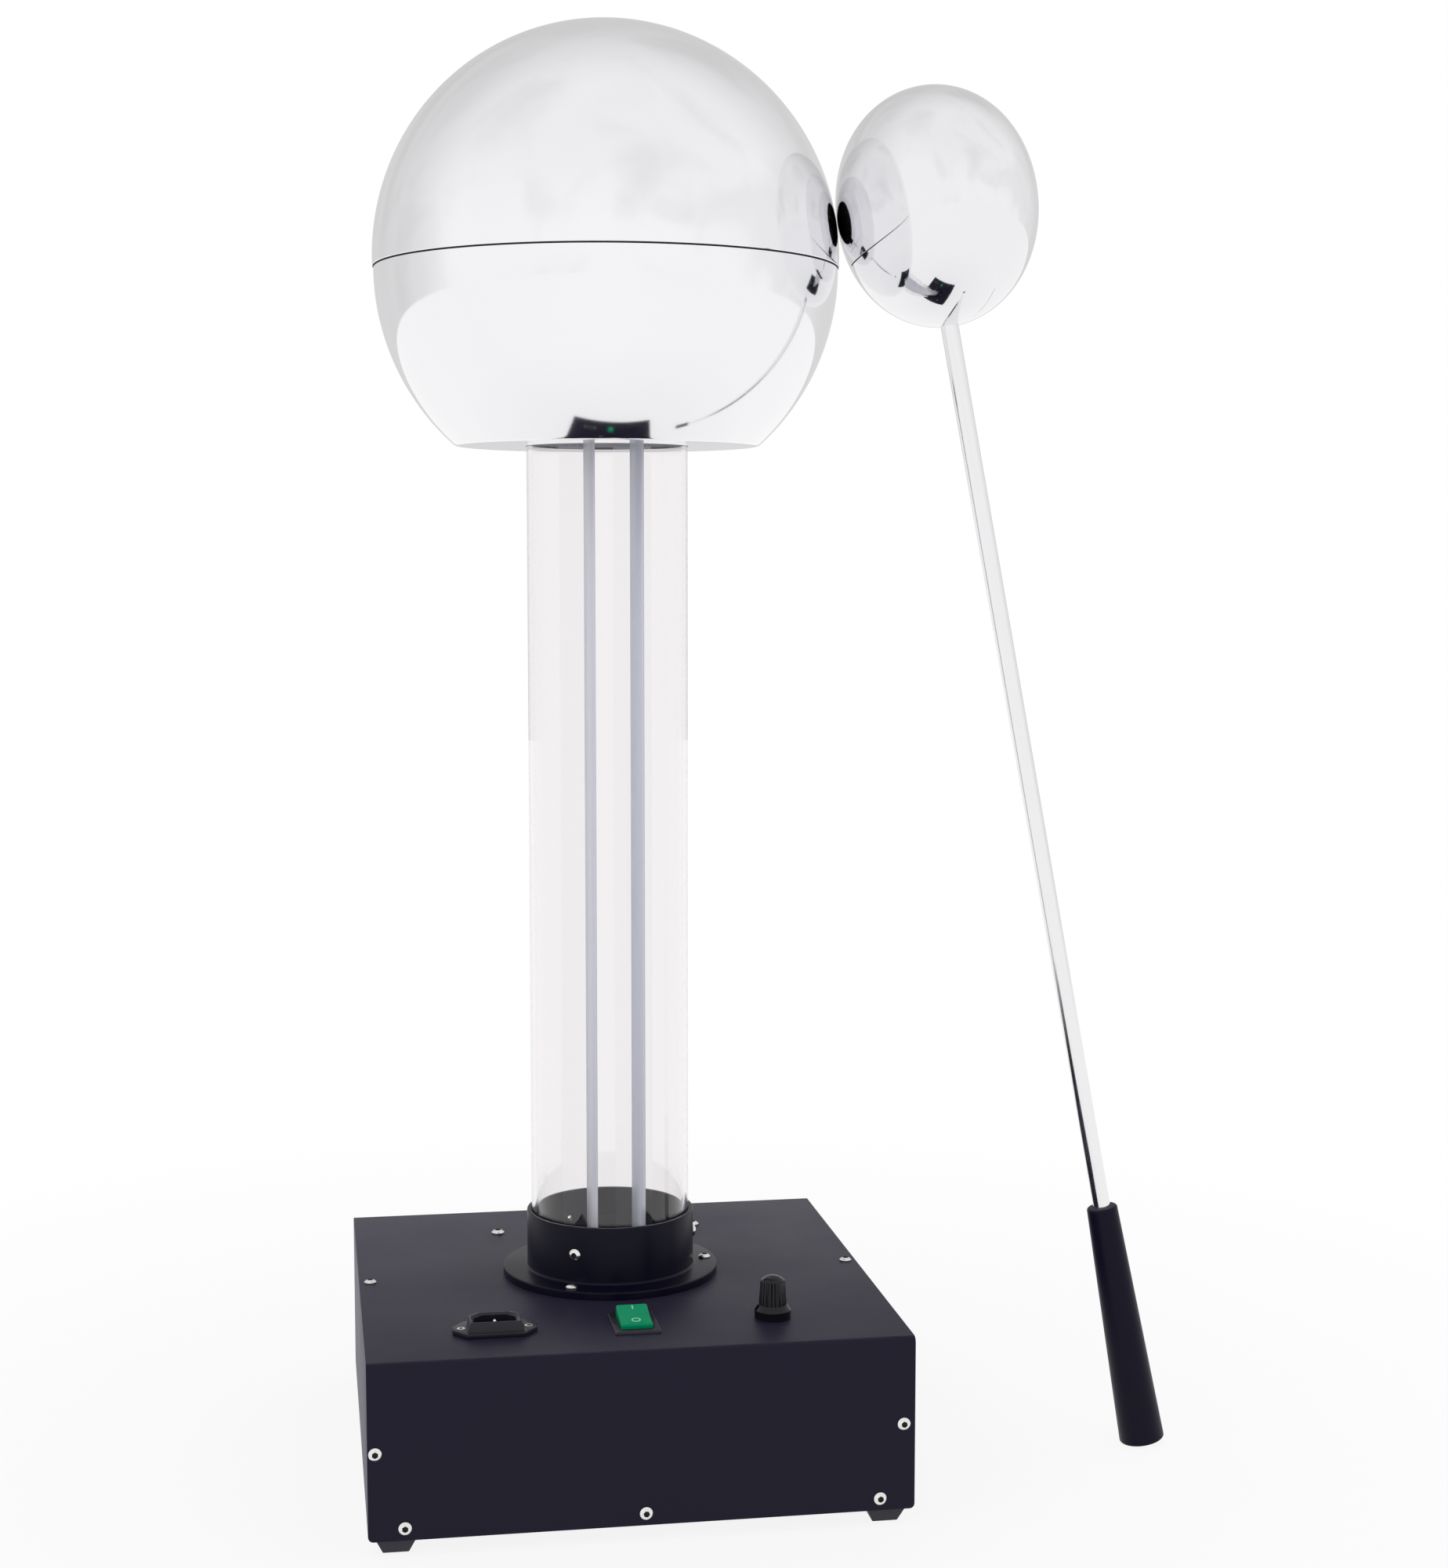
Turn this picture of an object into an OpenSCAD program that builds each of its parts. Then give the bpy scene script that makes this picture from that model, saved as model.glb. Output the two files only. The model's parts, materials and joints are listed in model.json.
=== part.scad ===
// Van de Graaff generator with a sheet-metal base box, a clear column, a polished dome
// and a loose discharge wand that leans on the dome.
// Millimetres. X runs to the right, Y to the back, Z up.
// The origin is on the floor, under the axis of the column.

/* [Base box] */
// Width of the box, left to right
base_w = 320; // [290:5:380]
// Depth of the box, front to back
base_d = 320; // [312:4:380]
// Height of the box without its feet
base_h = 104; // [98:2:150]
// Thickness of the box's sheet steel
sheet = 1.5; // [1:0.1:2]
// Outer radius of the two long bends of the cover
bend_r = 4; // [3:0.5:7]
// Radius of the lower corners of the front and the back
corner_r = 3; // [1:0.5:5]
// Width of the inward flanges that hold the cover
flange_w = 14; // [12:1:18]
// How far the column stands behind the middle of the box
column_back = 6; // [0:1:14]
// How far the lower screws of the front and the back are from its sides
low_screw_inset = 21; // [19:1:40]
// How far the middle screw on the left of the front and the back is from the side
left_screw_inset = 4.5; // [4:0.5:7]

/* [Feet] */
// Height of a foot
foot_h = 10; // [7:1:20]
// Width of a square foot where it meets the box
foot_top_w = 24; // [20:1:30]
// Width of a square foot on the floor
foot_low_w = 15; // [12:1:19]
// Distance of a foot's middle from the two sides of the box next to it
foot_inset = 16; // [15:1:30]

/* [Column] */
// Outer diameter of the clear tube
tube_d = 100; // [96:1:104]
// Wall of the clear tube
tube_wall = 3; // [2:0.5:5]
// Height of the dome's flat bottom above the box
column_h = 523.5; // [400:5:700]
// Length of the tube inside the dome
tube_above = 74; // [64:1:84]
// Height of the collar above the box
collar_h = 41; // [34:1:60]
// Wall of the collar
collar_wall = 2.8; // [2:0.2:4]
// Diameter of the collar's flange
collar_flange_d = 136.5; // [134:0.5:150]
// Thickness of the collar's flange
collar_flange_t = 5; // [3:0.5:8]
// Pitch circle of the flange's three screws
collar_pcd = 122; // [120:0.5:124]
// Height of the collar's cross screws above the box
collar_screw_h = 23.5; // [14:0.5:30]
// Turn of the cross screws away from the flange's screws
collar_turn = -1.2; // [-3:0.2:3]

/* [Belt drive] */
// Diameter of both rollers
roller_d = 27; // [22:0.2:32]
// Length of both rollers
roller_len = 64; // [61:1:66]
// Crown of the rollers, added to the radius in the middle
roller_crown = 0.4; // [0.1:0.1:0.6]
// Sideways place of both rollers from the column's axis
roller_shift = 3.5; // [0:0.5:4]
// Height of the lower roller's axis above the floor of the box
lower_axis_h = 48.5; // [42:0.5:52]
// Height of the upper roller's axis above the end of the tube
upper_axis_h = 27; // [24:0.5:34]
// Width of the belt
belt_w = 51; // [40:1:60]
// Thickness of the belt
belt_t = 1.5; // [0.8:0.1:2]
// Diameter of the roller shafts
shaft_d = 8; // [6:0.5:9]
// Diameter of the motor
motor_d = 54; // [44:1:60]
// How far the motor's bracket is to the right of the column's axis
bracket_shift = 1.8; // [0:0.2:4]
// Gap between the end of the motor and the back of the box
motor_gap = 12.5; // [6:0.5:20]
// Gap between the points of a comb and the belt
comb_gap = 3; // [2:0.5:4]

/* [Dome] */
// Outer radius of the upper half
dome_r = 143.5; // [135:0.5:160]
// Wall of both halves
dome_wall = 1.5; // [1:0.1:2]
// Straight skirt of the upper half below its round part
dome_skirt = 6; // [3:0.5:12]
// Height of the seam above the flat bottom
dome_drop = 107.5; // [96:0.5:114]
// Depth by which the lower half reaches up inside the upper half
dome_lap = 8; // [5:0.5:10]

/* [Discharge wand] */
// Angle at which the wand leans
wand_lean = 10.8; // [6:0.2:16]
// Direction from the dome's centre to the spot that the ball touches, from the right side
touch_turn = -10.2; // [-20:0.2:0]
// Height of that spot above the dome's widest level, as an angle
touch_rise = 8.8; // [4:0.2:14]
// Diameter of the ball across its seam
ball_d = 144; // [130:1:160]
// Thickness of the ball along its axis
ball_t = 108; // [102:1:118]
// Radius of the ball's shoulder beside the seam
ball_shoulder = 46; // [38:1:48]
// Wall of the ball
ball_wall = 1.2; // [0.8:0.1:1.5]
// How far the ball's seam is beyond the rod's axis
ball_shift = 4.6; // [0:0.2:8]
// Turn of the ball about the rod
ball_turn = 20.5; // [0:0.5:30]
// Diameter of the rod
rod_d = 11; // [8:0.5:14]
// Length of the handle
handle_len = 157; // [120:1:200]
// Diameter of the handle at its thick end
handle_low_d = 28.5; // [22:0.5:34]
// Diameter of the handle where the rod leaves it
handle_top_d = 19.5; // [18:0.5:26]

/* [Controls] */
// Distance of the inlet, the switch and the knob behind the front
controls_back = 50.5; // [46:0.5:54]
// Gap between the control board and the right side of the box
board_right = 28; // [22:1:34]
// Sideways place of the inlet, left of the column
inlet_left = 83; // [78:1:100]
// Sideways place of the knob, right of the column
knob_right = 84; // [70:1:100]
// Length of the inlet's flange
inlet_w = 50; // [48:1:54]
// Distance between the inlet's two screws
inlet_pitch = 40; // [39.5:0.5:41]
// Height of the inlet's rim above its flange
inlet_rim_h = 5.8; // [3:0.2:8]
// Width of the switch's frame
switch_w = 27.6; // [26.5:0.1:32]
// Length of the switch's frame, front to back
switch_l = 40; // [38:0.5:44]
// Tilt of the switch's rocker to each side
rocker_tilt = 8; // [4:0.5:9]
// Height of the knob
knob_h = 26; // [22:0.5:32]
// Diameter of the knob's skirt
knob_d = 22; // [19:0.5:26]
// Number of flutes round the knob
knob_flutes = 24; // [12:1:28]

/* [Fits] */
// Gap round a piece that slides into another
slip = 0.2; // [0.1:0.05:0.3]
// Gap round a shaft that turns
running = 0.08; // [0.05:0.01:0.1]
// Gap between faces that move past each other or only touch
touch = 0.3; // [0.25:0.05:0.4]

/* [Hidden] */
$fn = 96;
eps = 0.01;

// Levels and faces of the box
floor_z = foot_h + sheet;
box_top = foot_h + base_h;
roof_z = box_top - sheet;
front_y = -column_back - base_d/2;
back_y = front_y + base_d;
mid_y = -column_back;
side_x = base_w/2;
corner_gap = 2;
low_flange_w = base_w - 2*(flange_w + corner_gap);

// Small screws: shank, head and head height of the three sizes that are used
m4 = [4, 7.6, 2.6];
m4_domed = [4, 8.6, 3];
m3 = [3, 6, 2];
nut_h = 3.2;
clear = 0.25;

// Column and collar
tube_r = tube_d/2;
bore_r = tube_r - tube_wall;
collar_in = tube_r + slip;
collar_out = collar_in + collar_wall;
collar_screw_turns = [0, 120, 240];
roof_hole_r = bore_r - 4;
dome_z = box_top + column_h;
tube_top = dome_z + tube_above;
tube_len = tube_top - box_top;

// Belt drive
roller_r = roller_d/2;
belt_in = roller_r + roller_crown + touch;
belt_out = belt_in + belt_t;
lower_z = floor_z + lower_axis_h;
upper_z = tube_top + upper_axis_h;
frame_t = 2;
cheek_y = 46;
cheek_w = 58;
bush_r = 8;
bush_flange_r = 10;
shaft_r = shaft_d/2;
bracket_y = 86;
bracket_depth = 18;
bracket_screw_x = 66.5;
bracket_w = 152;
motor_r = motor_d/2;
motor_y = bracket_y + frame_t;
boss_r = 9;
boss_h = 4;
spindle_r = 3;
spindle_in = 12;
coupling_r = 9;
coupling_y = [56, 76];
shaft_ends = [-(cheek_y + 6), coupling_y[0] + 9];
end_cap_len = 8;
motor_len = back_y - sheet - motor_gap - end_cap_len - motor_y;

// Combs
comb_t = 0.8;
comb_len = belt_w - 6;
comb_pitch = 3;
comb_tooth = 4;
comb_back = 9;

// Electric parts inside the box
board = [86, 58, 1.6];
board_at = [side_x - board_right - board[0], front_y + 26];
spacer_h = 8;
board_z = floor_z + spacer_h;
spacer_inset = 5;

// Controls
controls_y = front_y + controls_back;
inlet_flange_d = 26.5;
inlet_flange_t = 3;
inlet_tip = 7;
inlet_body = [27.4, 20];
inlet_rim = [30, 20.5];
inlet_rim_foot = [34.4, 23.6];
inlet_mouth = [28, 18.8];
inlet_mouth_h = 1.4;
inlet_well = [25, 16.4];
inlet_well_depth = 16;
inlet_cut = 5.4;
inlet_low = 22;
inlet_screw_d = 5.2;
inlet_screw_head = 1.6;
pin_size = [2, 4];
pin_spread = 7;
pin_shift = 3.6;
pin_below_rim = 5;
earth_below_rim = 2.6;
tab_len = 8;
switch_body = [24, 34];
switch_t = 2;
switch_deep = 17;
well_size = [20, 30.4];
rocker_size = [18.8, 28];
rocker_face_w = 17.2;
rocker_top = 8.5;
rocker_dip = 0.6;
rocker_low = -1;
rocker_pin_r = 1.2;
pivot_z = box_top - 1.7;
well_floor = pivot_z - 5.5;
control_r = 12;
control_len = 9;
control_neck_r = 4.4;
control_neck_h = 7.5;
knob_gap = 0.5;
knob_skirt_h = 5;
knob_cone_h = 2.8;
knob_body_r = 8.4;
knob_tip_r = 7.4;
knob_crown_h = 3.3;
knob_wall = 1.6;
flute_r = 0.65;
flute_out = 0.2;

// Head, inside the dome
cup_wall = 2.8;
cup_in = tube_r + slip;
cup_out = cup_in + cup_wall;
cup_skirt = 14;
cup_top_t = 4;
head_cheek_t = 3;
head_cheek_w = 22;
roller_end_gap = 0.5;
head_cheek_y = roller_len/2 + roller_end_gap;
bridge_z = upper_z + belt_out + comb_gap + comb_back;
bridge_t = 3;
bridge_w = 14;
axle_end = head_cheek_y + head_cheek_t + 4;
ring_h = 12;
ring_out = tube_r + 12;

// Dome
dome_mid = dome_z + dome_drop + dome_skirt;
seam_z = dome_z + dome_drop;
dome_in = dome_r - dome_wall;
lower_lap_r = dome_in - touch;
lower_r = dome_r - 0.7;
dome_hole_r = tube_r + 0.4;
dome_edge_r = 5;
dome_top_in = dome_mid + dome_in;

// Wand: the ball's near half is part of a sphere, which touches the dome's sphere
ball_r = ball_d/2;
ball_h = ball_t/2;
face_back = ((ball_r - ball_shoulder)^2 - (ball_h - ball_shoulder)^2)/(2*(ball_h - ball_shoulder));
face_r = ball_h + face_back;
touch_dir = [cos(touch_rise)*cos(touch_turn), cos(touch_rise)*sin(touch_turn), sin(touch_rise)];
ball_axis = [cos(ball_turn)*cos(wand_lean), sin(ball_turn), cos(ball_turn)*sin(wand_lean)];
ball_at = [0, 0, dome_mid] + (dome_r + touch + face_r)*touch_dir - face_back*ball_axis;
handle_edge = 1.5;
handle_foot_r = handle_low_d/2 - handle_edge;
wand_end_z = handle_foot_r*sin(wand_lean);
rod_at = ball_at - ball_shift*ball_axis;
wand_len = (rod_at[2] - wand_end_z)/cos(wand_lean);
wand_at = [rod_at[0] + wand_len*sin(wand_lean), rod_at[1], wand_end_z];
rod_r = rod_d/2;
rod_in_handle = 70;
bush_r_out = rod_r + 5;
rod_bush_h = 10;
rod_nut_h = 6;
rod_above_bush = 30;

// ---------- shapes that repeat ----------

// Pan-head screw along -Z, with the underside of its head at z = 0
module screw(size, length) {
    head_r = size[1]/2;
    rim_h = 0.5;
    cap_h = size[2] - rim_h;
    cap_r = (head_r^2 + cap_h^2)/(2*cap_h);
    slot = [size[1]*0.55, size[1]*0.12, size[2]*0.5];
    difference() {
        union() {
            cylinder(r = head_r, h = rim_h);
            intersection() {
                translate([0, 0, size[2] - cap_r]) sphere(r = cap_r);
                cylinder(r = head_r, h = size[2] + 1);
            }
            translate([0, 0, -length]) cylinder(d = size[0], h = length + rim_h);
        }
        for (turn = [0, 90])
            rotate([0, 0, turn + 20])
                translate([-slot[0]/2, -slot[1]/2, size[2] - slot[2]])
                    cube([slot[0], slot[1], slot[2] + 1]);
    }
}

// Countersunk screw along -Z, flush at z = 0
module flush_screw(size, head_d, head_h, length) {
    slot = [head_d*0.6, head_d*0.14, head_h*0.5];
    difference() {
        union() {
            translate([0, 0, -head_h]) cylinder(d1 = size[0], d2 = head_d, h = head_h);
            translate([0, 0, -length]) cylinder(d = size[0], h = length - head_h/2);
        }
        for (turn = [0, 90]) rotate([0, 0, turn + 20])
            translate([-slot[0]/2, -slot[1]/2, -slot[2]]) cube([slot[0], slot[1], slot[2] + 1]);
    }
}

// Hexagon nut round a shank, standing on z = 0
module nut(d) {
    difference() {
        cylinder(d = d*2, h = nut_h, $fn = 6);
        translate([0, 0, -eps]) cylinder(d = d, h = nut_h + 2*eps);
    }
}

module ring(r_out, r_in, h) {
    difference() {
        cylinder(r = r_out, h = h);
        translate([0, 0, -eps]) cylinder(r = r_in, h = h + 2*eps);
    }
}

module trapezoid(low, high, h) {
    polygon([[-low/2, 0], [low/2, 0], [high/2, h], [-high/2, h]]);
}

// Block on z = 0 whose four sides lean from one size at the bottom to another at the top
module leaning_block(low, high, h) {
    intersection() {
        rotate([90, 0, 0]) linear_extrude(low[1] + high[1], center = true) trapezoid(low[0], high[0], h);
        rotate([90, 0, 90]) linear_extrude(low[0] + high[0], center = true) trapezoid(low[1], high[1], h);
    }
}

// Cylinder along Y between two places
module rod_y(r, from, to) {
    translate([0, from, 0]) rotate([-90, 0, 0]) cylinder(r = r, h = to - from);
}

// The three places of the collar's screws on the pitch circle
module on_pitch_circle() {
    for (turn = collar_screw_turns) rotate([0, 0, turn]) translate([collar_pcd/2, 0, 0]) children();
}

// Radial screws round a cylinder, pointing at its axis
module on_cylinder(r, z) {
    for (turn = collar_screw_turns)
        rotate([0, 0, turn + collar_turn]) translate([r, 0, z]) rotate([0, 90, 0]) children();
}

module at_lower_axis() translate([roller_shift, 0, lower_z]) children();
module at_upper_axis() translate([roller_shift, 0, upper_z]) children();
module at_inlet() translate([-inlet_left, controls_y, box_top]) children();
module at_switch() translate([0, controls_y, 0]) children();
module at_knob() translate([knob_right, controls_y, 0]) children();

// Four corners of the box at a distance from its sides
module at_box_corners(inset) {
    for (x = [-1, 1], y = [front_y + inset, back_y - inset])
        translate([x*(side_x - inset), y, 0]) children();
}

// Screw places on the front and the back: they face outwards
module on_ends(x, z) {
    translate([x, front_y, z]) rotate([90, 0, 0]) children();
    translate([x, back_y, z]) rotate([-90, 0, 0]) children();
}

module at_low_screws() {
    for (x = [-1, 0, 1]) on_ends(x*(side_x - low_screw_inset), floor_z + flange_w/2 - 1) children();
}

module at_cover_screws() {
    for (x = [left_screw_inset - side_x, side_x - flange_w/2]) on_ends(x, foot_h + base_h/2) children();
    for (side = [-1, 1]) translate([side*(side_x - flange_w/2), mid_y, box_top]) children();
}

module at_bracket_screws() {
    for (side = [-1, 1])
        translate([bracket_shift + side*bracket_screw_x, bracket_y + bracket_depth/2, 0]) children();
}

// ---------- base box ----------

// Outline of the cover in the Y-Z plane, shrunk by a wall
module cover_outline(wall) {
    r = bend_r - wall;
    width = base_d - 2*wall;
    height = base_h - wall;
    translate([front_y + wall, foot_h]) {
        square([width, height - r]);
        translate([r, 0]) square([width - 2*r, height]);
        for (x = [r, width - r]) translate([x, height - r]) circle(r = r);
    }
}

module cover_corner_cut() {
    translate([side_x - corner_r, front_y - 1, foot_h - 1])
        difference() {
            cube([corner_r + 1, base_d + 2, corner_r + 1]);
            translate([0, 0, corner_r + 1]) rod_y(corner_r, -1, base_d + 4);
        }
}

module base_cover() {
    color([0.12, 0.11, 0.15])
    difference() {
        translate([-side_x, 0, 0]) rotate([90, 0, 90]) linear_extrude(base_w)
            difference() {
                cover_outline(0);
                cover_outline(sheet);
                translate([front_y + sheet, foot_h - 1])
                    square([base_d - 2*sheet, base_h/2]);
            }
        for (side = [0, 1]) mirror([side, 0, 0]) cover_corner_cut();
        translate([0, 0, roof_z - 1]) cylinder(r = roof_hole_r, h = sheet + 2);
        translate([0, 0, roof_z - 1]) on_pitch_circle() cylinder(d = m4[0] + 2*clear, h = sheet + 2);
        translate([0, 0, roof_z - 1]) at_bracket_screws() cylinder(d = m4[0] + 2*clear, h = sheet + 2);
        at_low_screws() translate([0, 0, -sheet - 1]) cylinder(d = m4[0] + 2*clear, h = sheet + 2);
        at_cover_screws() translate([0, 0, -sheet - 1]) cylinder(d = m4[0] + 2*clear, h = sheet + 2);
        at_inlet() translate([0, 0, -sheet - 1]) {
            linear_extrude(sheet + 2) square([inlet_body[0] + 2*slip, inlet_body[1] + 2*slip], center = true);
            for (x = [-1, 1]) translate([x*inlet_pitch/2, 0, 0]) cylinder(d = m3[0] + 2*clear, h = sheet + 2);
        }
        at_switch() translate([0, 0, roof_z - 1]) linear_extrude(sheet + 2)
            square([switch_body[0] + 2*slip, switch_body[1] + 2*slip], center = true);
        at_knob() translate([0, 0, roof_z - 1]) cylinder(r = control_neck_r + slip, h = sheet + 2);
    }
}

// Right-hand side panel: an outer plate with flanges at the top, the front and the back
module side_panel() {
    inner_d = base_d - 2*sheet;
    inner_h = base_h - 2*sheet;
    difference() {
        translate([0, front_y + sheet, floor_z]) {
            translate([side_x - sheet, 0, 0]) cube([sheet, inner_d, inner_h]);
            translate([side_x - flange_w, 0, inner_h - sheet]) cube([flange_w, inner_d, sheet]);
            for (y = [0, inner_d - sheet])
                translate([side_x - flange_w, y, 0]) cube([flange_w, sheet, inner_h]);
        }
        // relief for the cover's bends
        for (side = [0, 1]) translate([0, mid_y, 0]) mirror([0, side, 0])
            translate([side_x - flange_w - 1, base_d/2 - bend_r, box_top - bend_r])
                difference() {
                    translate([0, -eps, -eps]) cube([flange_w + 2, bend_r + 1, bend_r + 1]);
                    translate([-1, 0, 0]) rotate([0, 90, 0])
                        cylinder(r = bend_r - sheet, h = flange_w + 4);
                }
    }
}

module panel_screw_holes() {
    at_cover_screws() translate([0, 0, -3*sheet]) cylinder(d = m4[0], h = 3*sheet);
}

module side_panel_right() {
    color([0.14, 0.13, 0.16]) difference() {
        side_panel();
        panel_screw_holes();
    }
}

module side_panel_left() {
    color([0.14, 0.13, 0.16]) difference() {
        mirror([1, 0, 0]) side_panel();
        panel_screw_holes();
    }
}

module base_plate() {
    color([0.14, 0.13, 0.16])
    difference() {
        union() {
            translate([-side_x, front_y + sheet, foot_h]) cube([base_w, base_d - 2*sheet, sheet]);
            for (y = [front_y + sheet, back_y - 2*sheet])
                translate([-low_flange_w/2, y, foot_h]) cube([low_flange_w, sheet, flange_w]);
        }
        at_low_screws() translate([0, 0, -3*sheet]) cylinder(d = m4[0], h = 3*sheet);
        at_box_corners(foot_inset) translate([0, 0, foot_h - 1])
            cylinder(d = m4[0] + 2*clear, h = sheet + 2);
        for (side = [0, 1]) mirror([side, 0, 0]) cover_corner_cut();
    }
}

foot_pocket_r = m4[1]/2 + 0.6;
foot_pocket_h = foot_h/2;

module feet() {
    color([0.07, 0.07, 0.08])
    at_box_corners(foot_inset) difference() {
        leaning_block([foot_low_w, foot_low_w], [foot_top_w, foot_top_w], foot_h);
        translate([0, 0, -1]) cylinder(r = foot_pocket_r, h = foot_pocket_h + 1);
        translate([0, 0, -1]) cylinder(d = m4[0] + 2*clear, h = foot_h + 2);
    }
}

module foot_screws() {
    color([0.7, 0.7, 0.72])
    at_box_corners(foot_inset) {
        translate([0, 0, foot_pocket_h]) mirror([0, 0, 1])
            screw(m4, foot_h - foot_pocket_h + sheet + nut_h + 1);
        translate([0, 0, floor_z]) nut(m4[0]);
    }
}

module cover_screws() {
    color([0.75, 0.75, 0.77]) at_cover_screws() screw(m4, 8);
}

module low_screws() {
    color([0.75, 0.75, 0.77]) at_low_screws() screw(m4, 8);
}

// ---------- collar ----------

module column_collar() {
    fillet = 1.6;
    edge = 0.8;
    color([0.1, 0.1, 0.12])
    difference() {
        translate([0, 0, box_top]) union() {
            translate([0, 0, 0]) cylinder(d = collar_flange_d, h = collar_flange_t - edge);
            translate([0, 0, collar_flange_t - edge])
                cylinder(d1 = collar_flange_d, d2 = collar_flange_d - 2*edge, h = edge);
            cylinder(r = collar_out, h = collar_h - edge);
            translate([0, 0, collar_h - edge])
                cylinder(r1 = collar_out, r2 = collar_out - edge, h = edge);
            translate([0, 0, collar_flange_t]) rotate_extrude()
                difference() {
                    translate([collar_out - eps, -eps]) square([fillet, fillet]);
                    translate([collar_out + fillet, fillet]) circle(r = fillet);
                }
        }
        translate([0, 0, box_top - 1]) cylinder(r = collar_in, h = collar_h + 2);
        translate([0, 0, box_top - 1]) on_pitch_circle()
            cylinder(d = m4[0] + 2*clear, h = collar_flange_t + 2);
        on_cylinder(collar_in - 2, box_top + collar_screw_h) cylinder(d = m4[0], h = collar_wall + 4);
    }
}

module flange_screws() {
    color([0.78, 0.78, 0.8])
    translate([0, 0, box_top]) on_pitch_circle() {
        translate([0, 0, collar_flange_t]) screw(m4, collar_flange_t + sheet + frame_t + nut_h + 1);
        translate([0, 0, -sheet - frame_t - nut_h]) nut(m4[0]);
    }
}

module collar_screws() {
    color([0.78, 0.78, 0.8])
    on_cylinder(collar_out + eps, box_top + collar_screw_h) screw(m4, collar_wall + tube_wall + 2);
}

// ---------- motor and lower roller ----------

module motor_bracket() {
    low_w = motor_d + 8;
    low_z = lower_z - motor_r - 3;
    shoulder_z = lower_z + motor_r;
    color([0.6, 0.6, 0.63])
    difference() {
        union() {
            translate([bracket_shift - bracket_w/2, bracket_y, roof_z - frame_t])
                cube([bracket_w, bracket_depth, frame_t]);
            translate([0, bracket_y + frame_t, 0]) rotate([90, 0, 0]) linear_extrude(frame_t)
                polygon([
                    [roller_shift - low_w/2, low_z], [roller_shift + low_w/2, low_z],
                    [roller_shift + low_w/2, shoulder_z], [bracket_shift + bracket_w/2, roof_z - frame_t],
                    [bracket_shift + bracket_w/2, roof_z], [bracket_shift - bracket_w/2, roof_z],
                    [bracket_shift - bracket_w/2, roof_z - frame_t], [roller_shift - low_w/2, shoulder_z]
                ]);
        }
        translate([0, 0, roof_z - frame_t - 1]) at_bracket_screws()
            cylinder(d = m4[0] + 2*clear, h = frame_t + 2);
        at_lower_axis() {
            rod_y(boss_r + slip, bracket_y - 1, bracket_y + frame_t + 1);
            for (side = [-1, 1]) translate([side*(boss_r + 7), 0, 0])
                rod_y(m3[0]/2 + clear, bracket_y - 1, bracket_y + frame_t + 1);
        }
    }
}

module bracket_screws() {
    color([0.78, 0.78, 0.8])
    translate([0, 0, box_top]) at_bracket_screws() {
        screw(m4_domed, sheet + frame_t + nut_h + 1);
        translate([0, 0, -sheet - frame_t - nut_h]) nut(m4[0]);
    }
}

module motor_case() {
    screw_in = 6;
    color([0.55, 0.56, 0.58])
    at_lower_axis() difference() {
        union() {
            rod_y(motor_r, motor_y, motor_y + motor_len);
            rod_y(boss_r, motor_y - boss_h, motor_y + 1);
        }
        rod_y(spindle_r + running, motor_y - boss_h - 1, motor_y + spindle_in);
        for (side = [-1, 1]) translate([side*(boss_r + 7), 0, 0])
            rod_y(m3[0]/2, motor_y - 1, motor_y + screw_in);
    }
}

module motor_end_cap() {
    slot_r = motor_r*0.62;
    color([0.16, 0.16, 0.17])
    at_lower_axis() difference() {
        union() {
            rod_y(motor_r, motor_y + motor_len, motor_y + motor_len + end_cap_len - 2);
            rod_y(motor_r - 2, motor_y + motor_len, motor_y + motor_len + end_cap_len);
        }
        for (turn = [0:60:300]) rotate([0, turn, 0]) translate([slot_r, 0, 0])
            rod_y(3, motor_y + motor_len + 2, motor_y + motor_len + end_cap_len + 1);
    }
}

module motor_screws() {
    color([0.7, 0.7, 0.72])
    at_lower_axis() for (side = [-1, 1]) translate([side*(boss_r + 7), bracket_y, 0])
        rotate([90, 0, 0]) screw(m3, frame_t + 5);
}

module roller_frame() {
    plate = [collar_pcd + 18, 2*cheek_y + 2*frame_t + 22];
    cheek_low = lower_z - bush_flange_r - 4;
    color([0.62, 0.62, 0.65])
    difference() {
        union() {
            translate([-plate[0]/2, -plate[1]/2, roof_z - frame_t]) cube([plate[0], plate[1], frame_t]);
            for (y = [-cheek_y - frame_t, cheek_y])
                translate([roller_shift - cheek_w/2, y, cheek_low])
                    cube([cheek_w, frame_t, roof_z - cheek_low]);
        }
        translate([0, 0, roof_z - frame_t - 1]) cylinder(r = roof_hole_r, h = frame_t + 2);
        translate([0, 0, roof_z - frame_t - 1]) on_pitch_circle()
            cylinder(d = m4[0] + 2*clear, h = frame_t + 2);
        at_lower_axis() rod_y(bush_r, -cheek_y - frame_t - 1, cheek_y + frame_t + 1);
    }
}

module shaft_bushes() {
    color([0.75, 0.6, 0.3])
    at_lower_axis() for (side = [0, 1]) mirror([0, side, 0]) difference() {
        union() {
            rod_y(bush_r, cheek_y, cheek_y + frame_t + 1);
            rod_y(bush_flange_r, cheek_y - 3, cheek_y);
        }
        rod_y(shaft_r + running, cheek_y - 4, cheek_y + frame_t + 2);
    }
}

module drive_shaft() {
    color([0.75, 0.75, 0.77]) at_lower_axis() rod_y(shaft_r, shaft_ends[0], shaft_ends[1]);
}

module shaft_coupling() {
    color([0.3, 0.3, 0.32])
    at_lower_axis() difference() {
        rod_y(coupling_r, coupling_y[0], coupling_y[1]);
        rod_y(shaft_r, coupling_y[0] - 1, shaft_ends[1]);
        rod_y(spindle_r, shaft_ends[1] - eps, coupling_y[1] + 1);
    }
}

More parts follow.
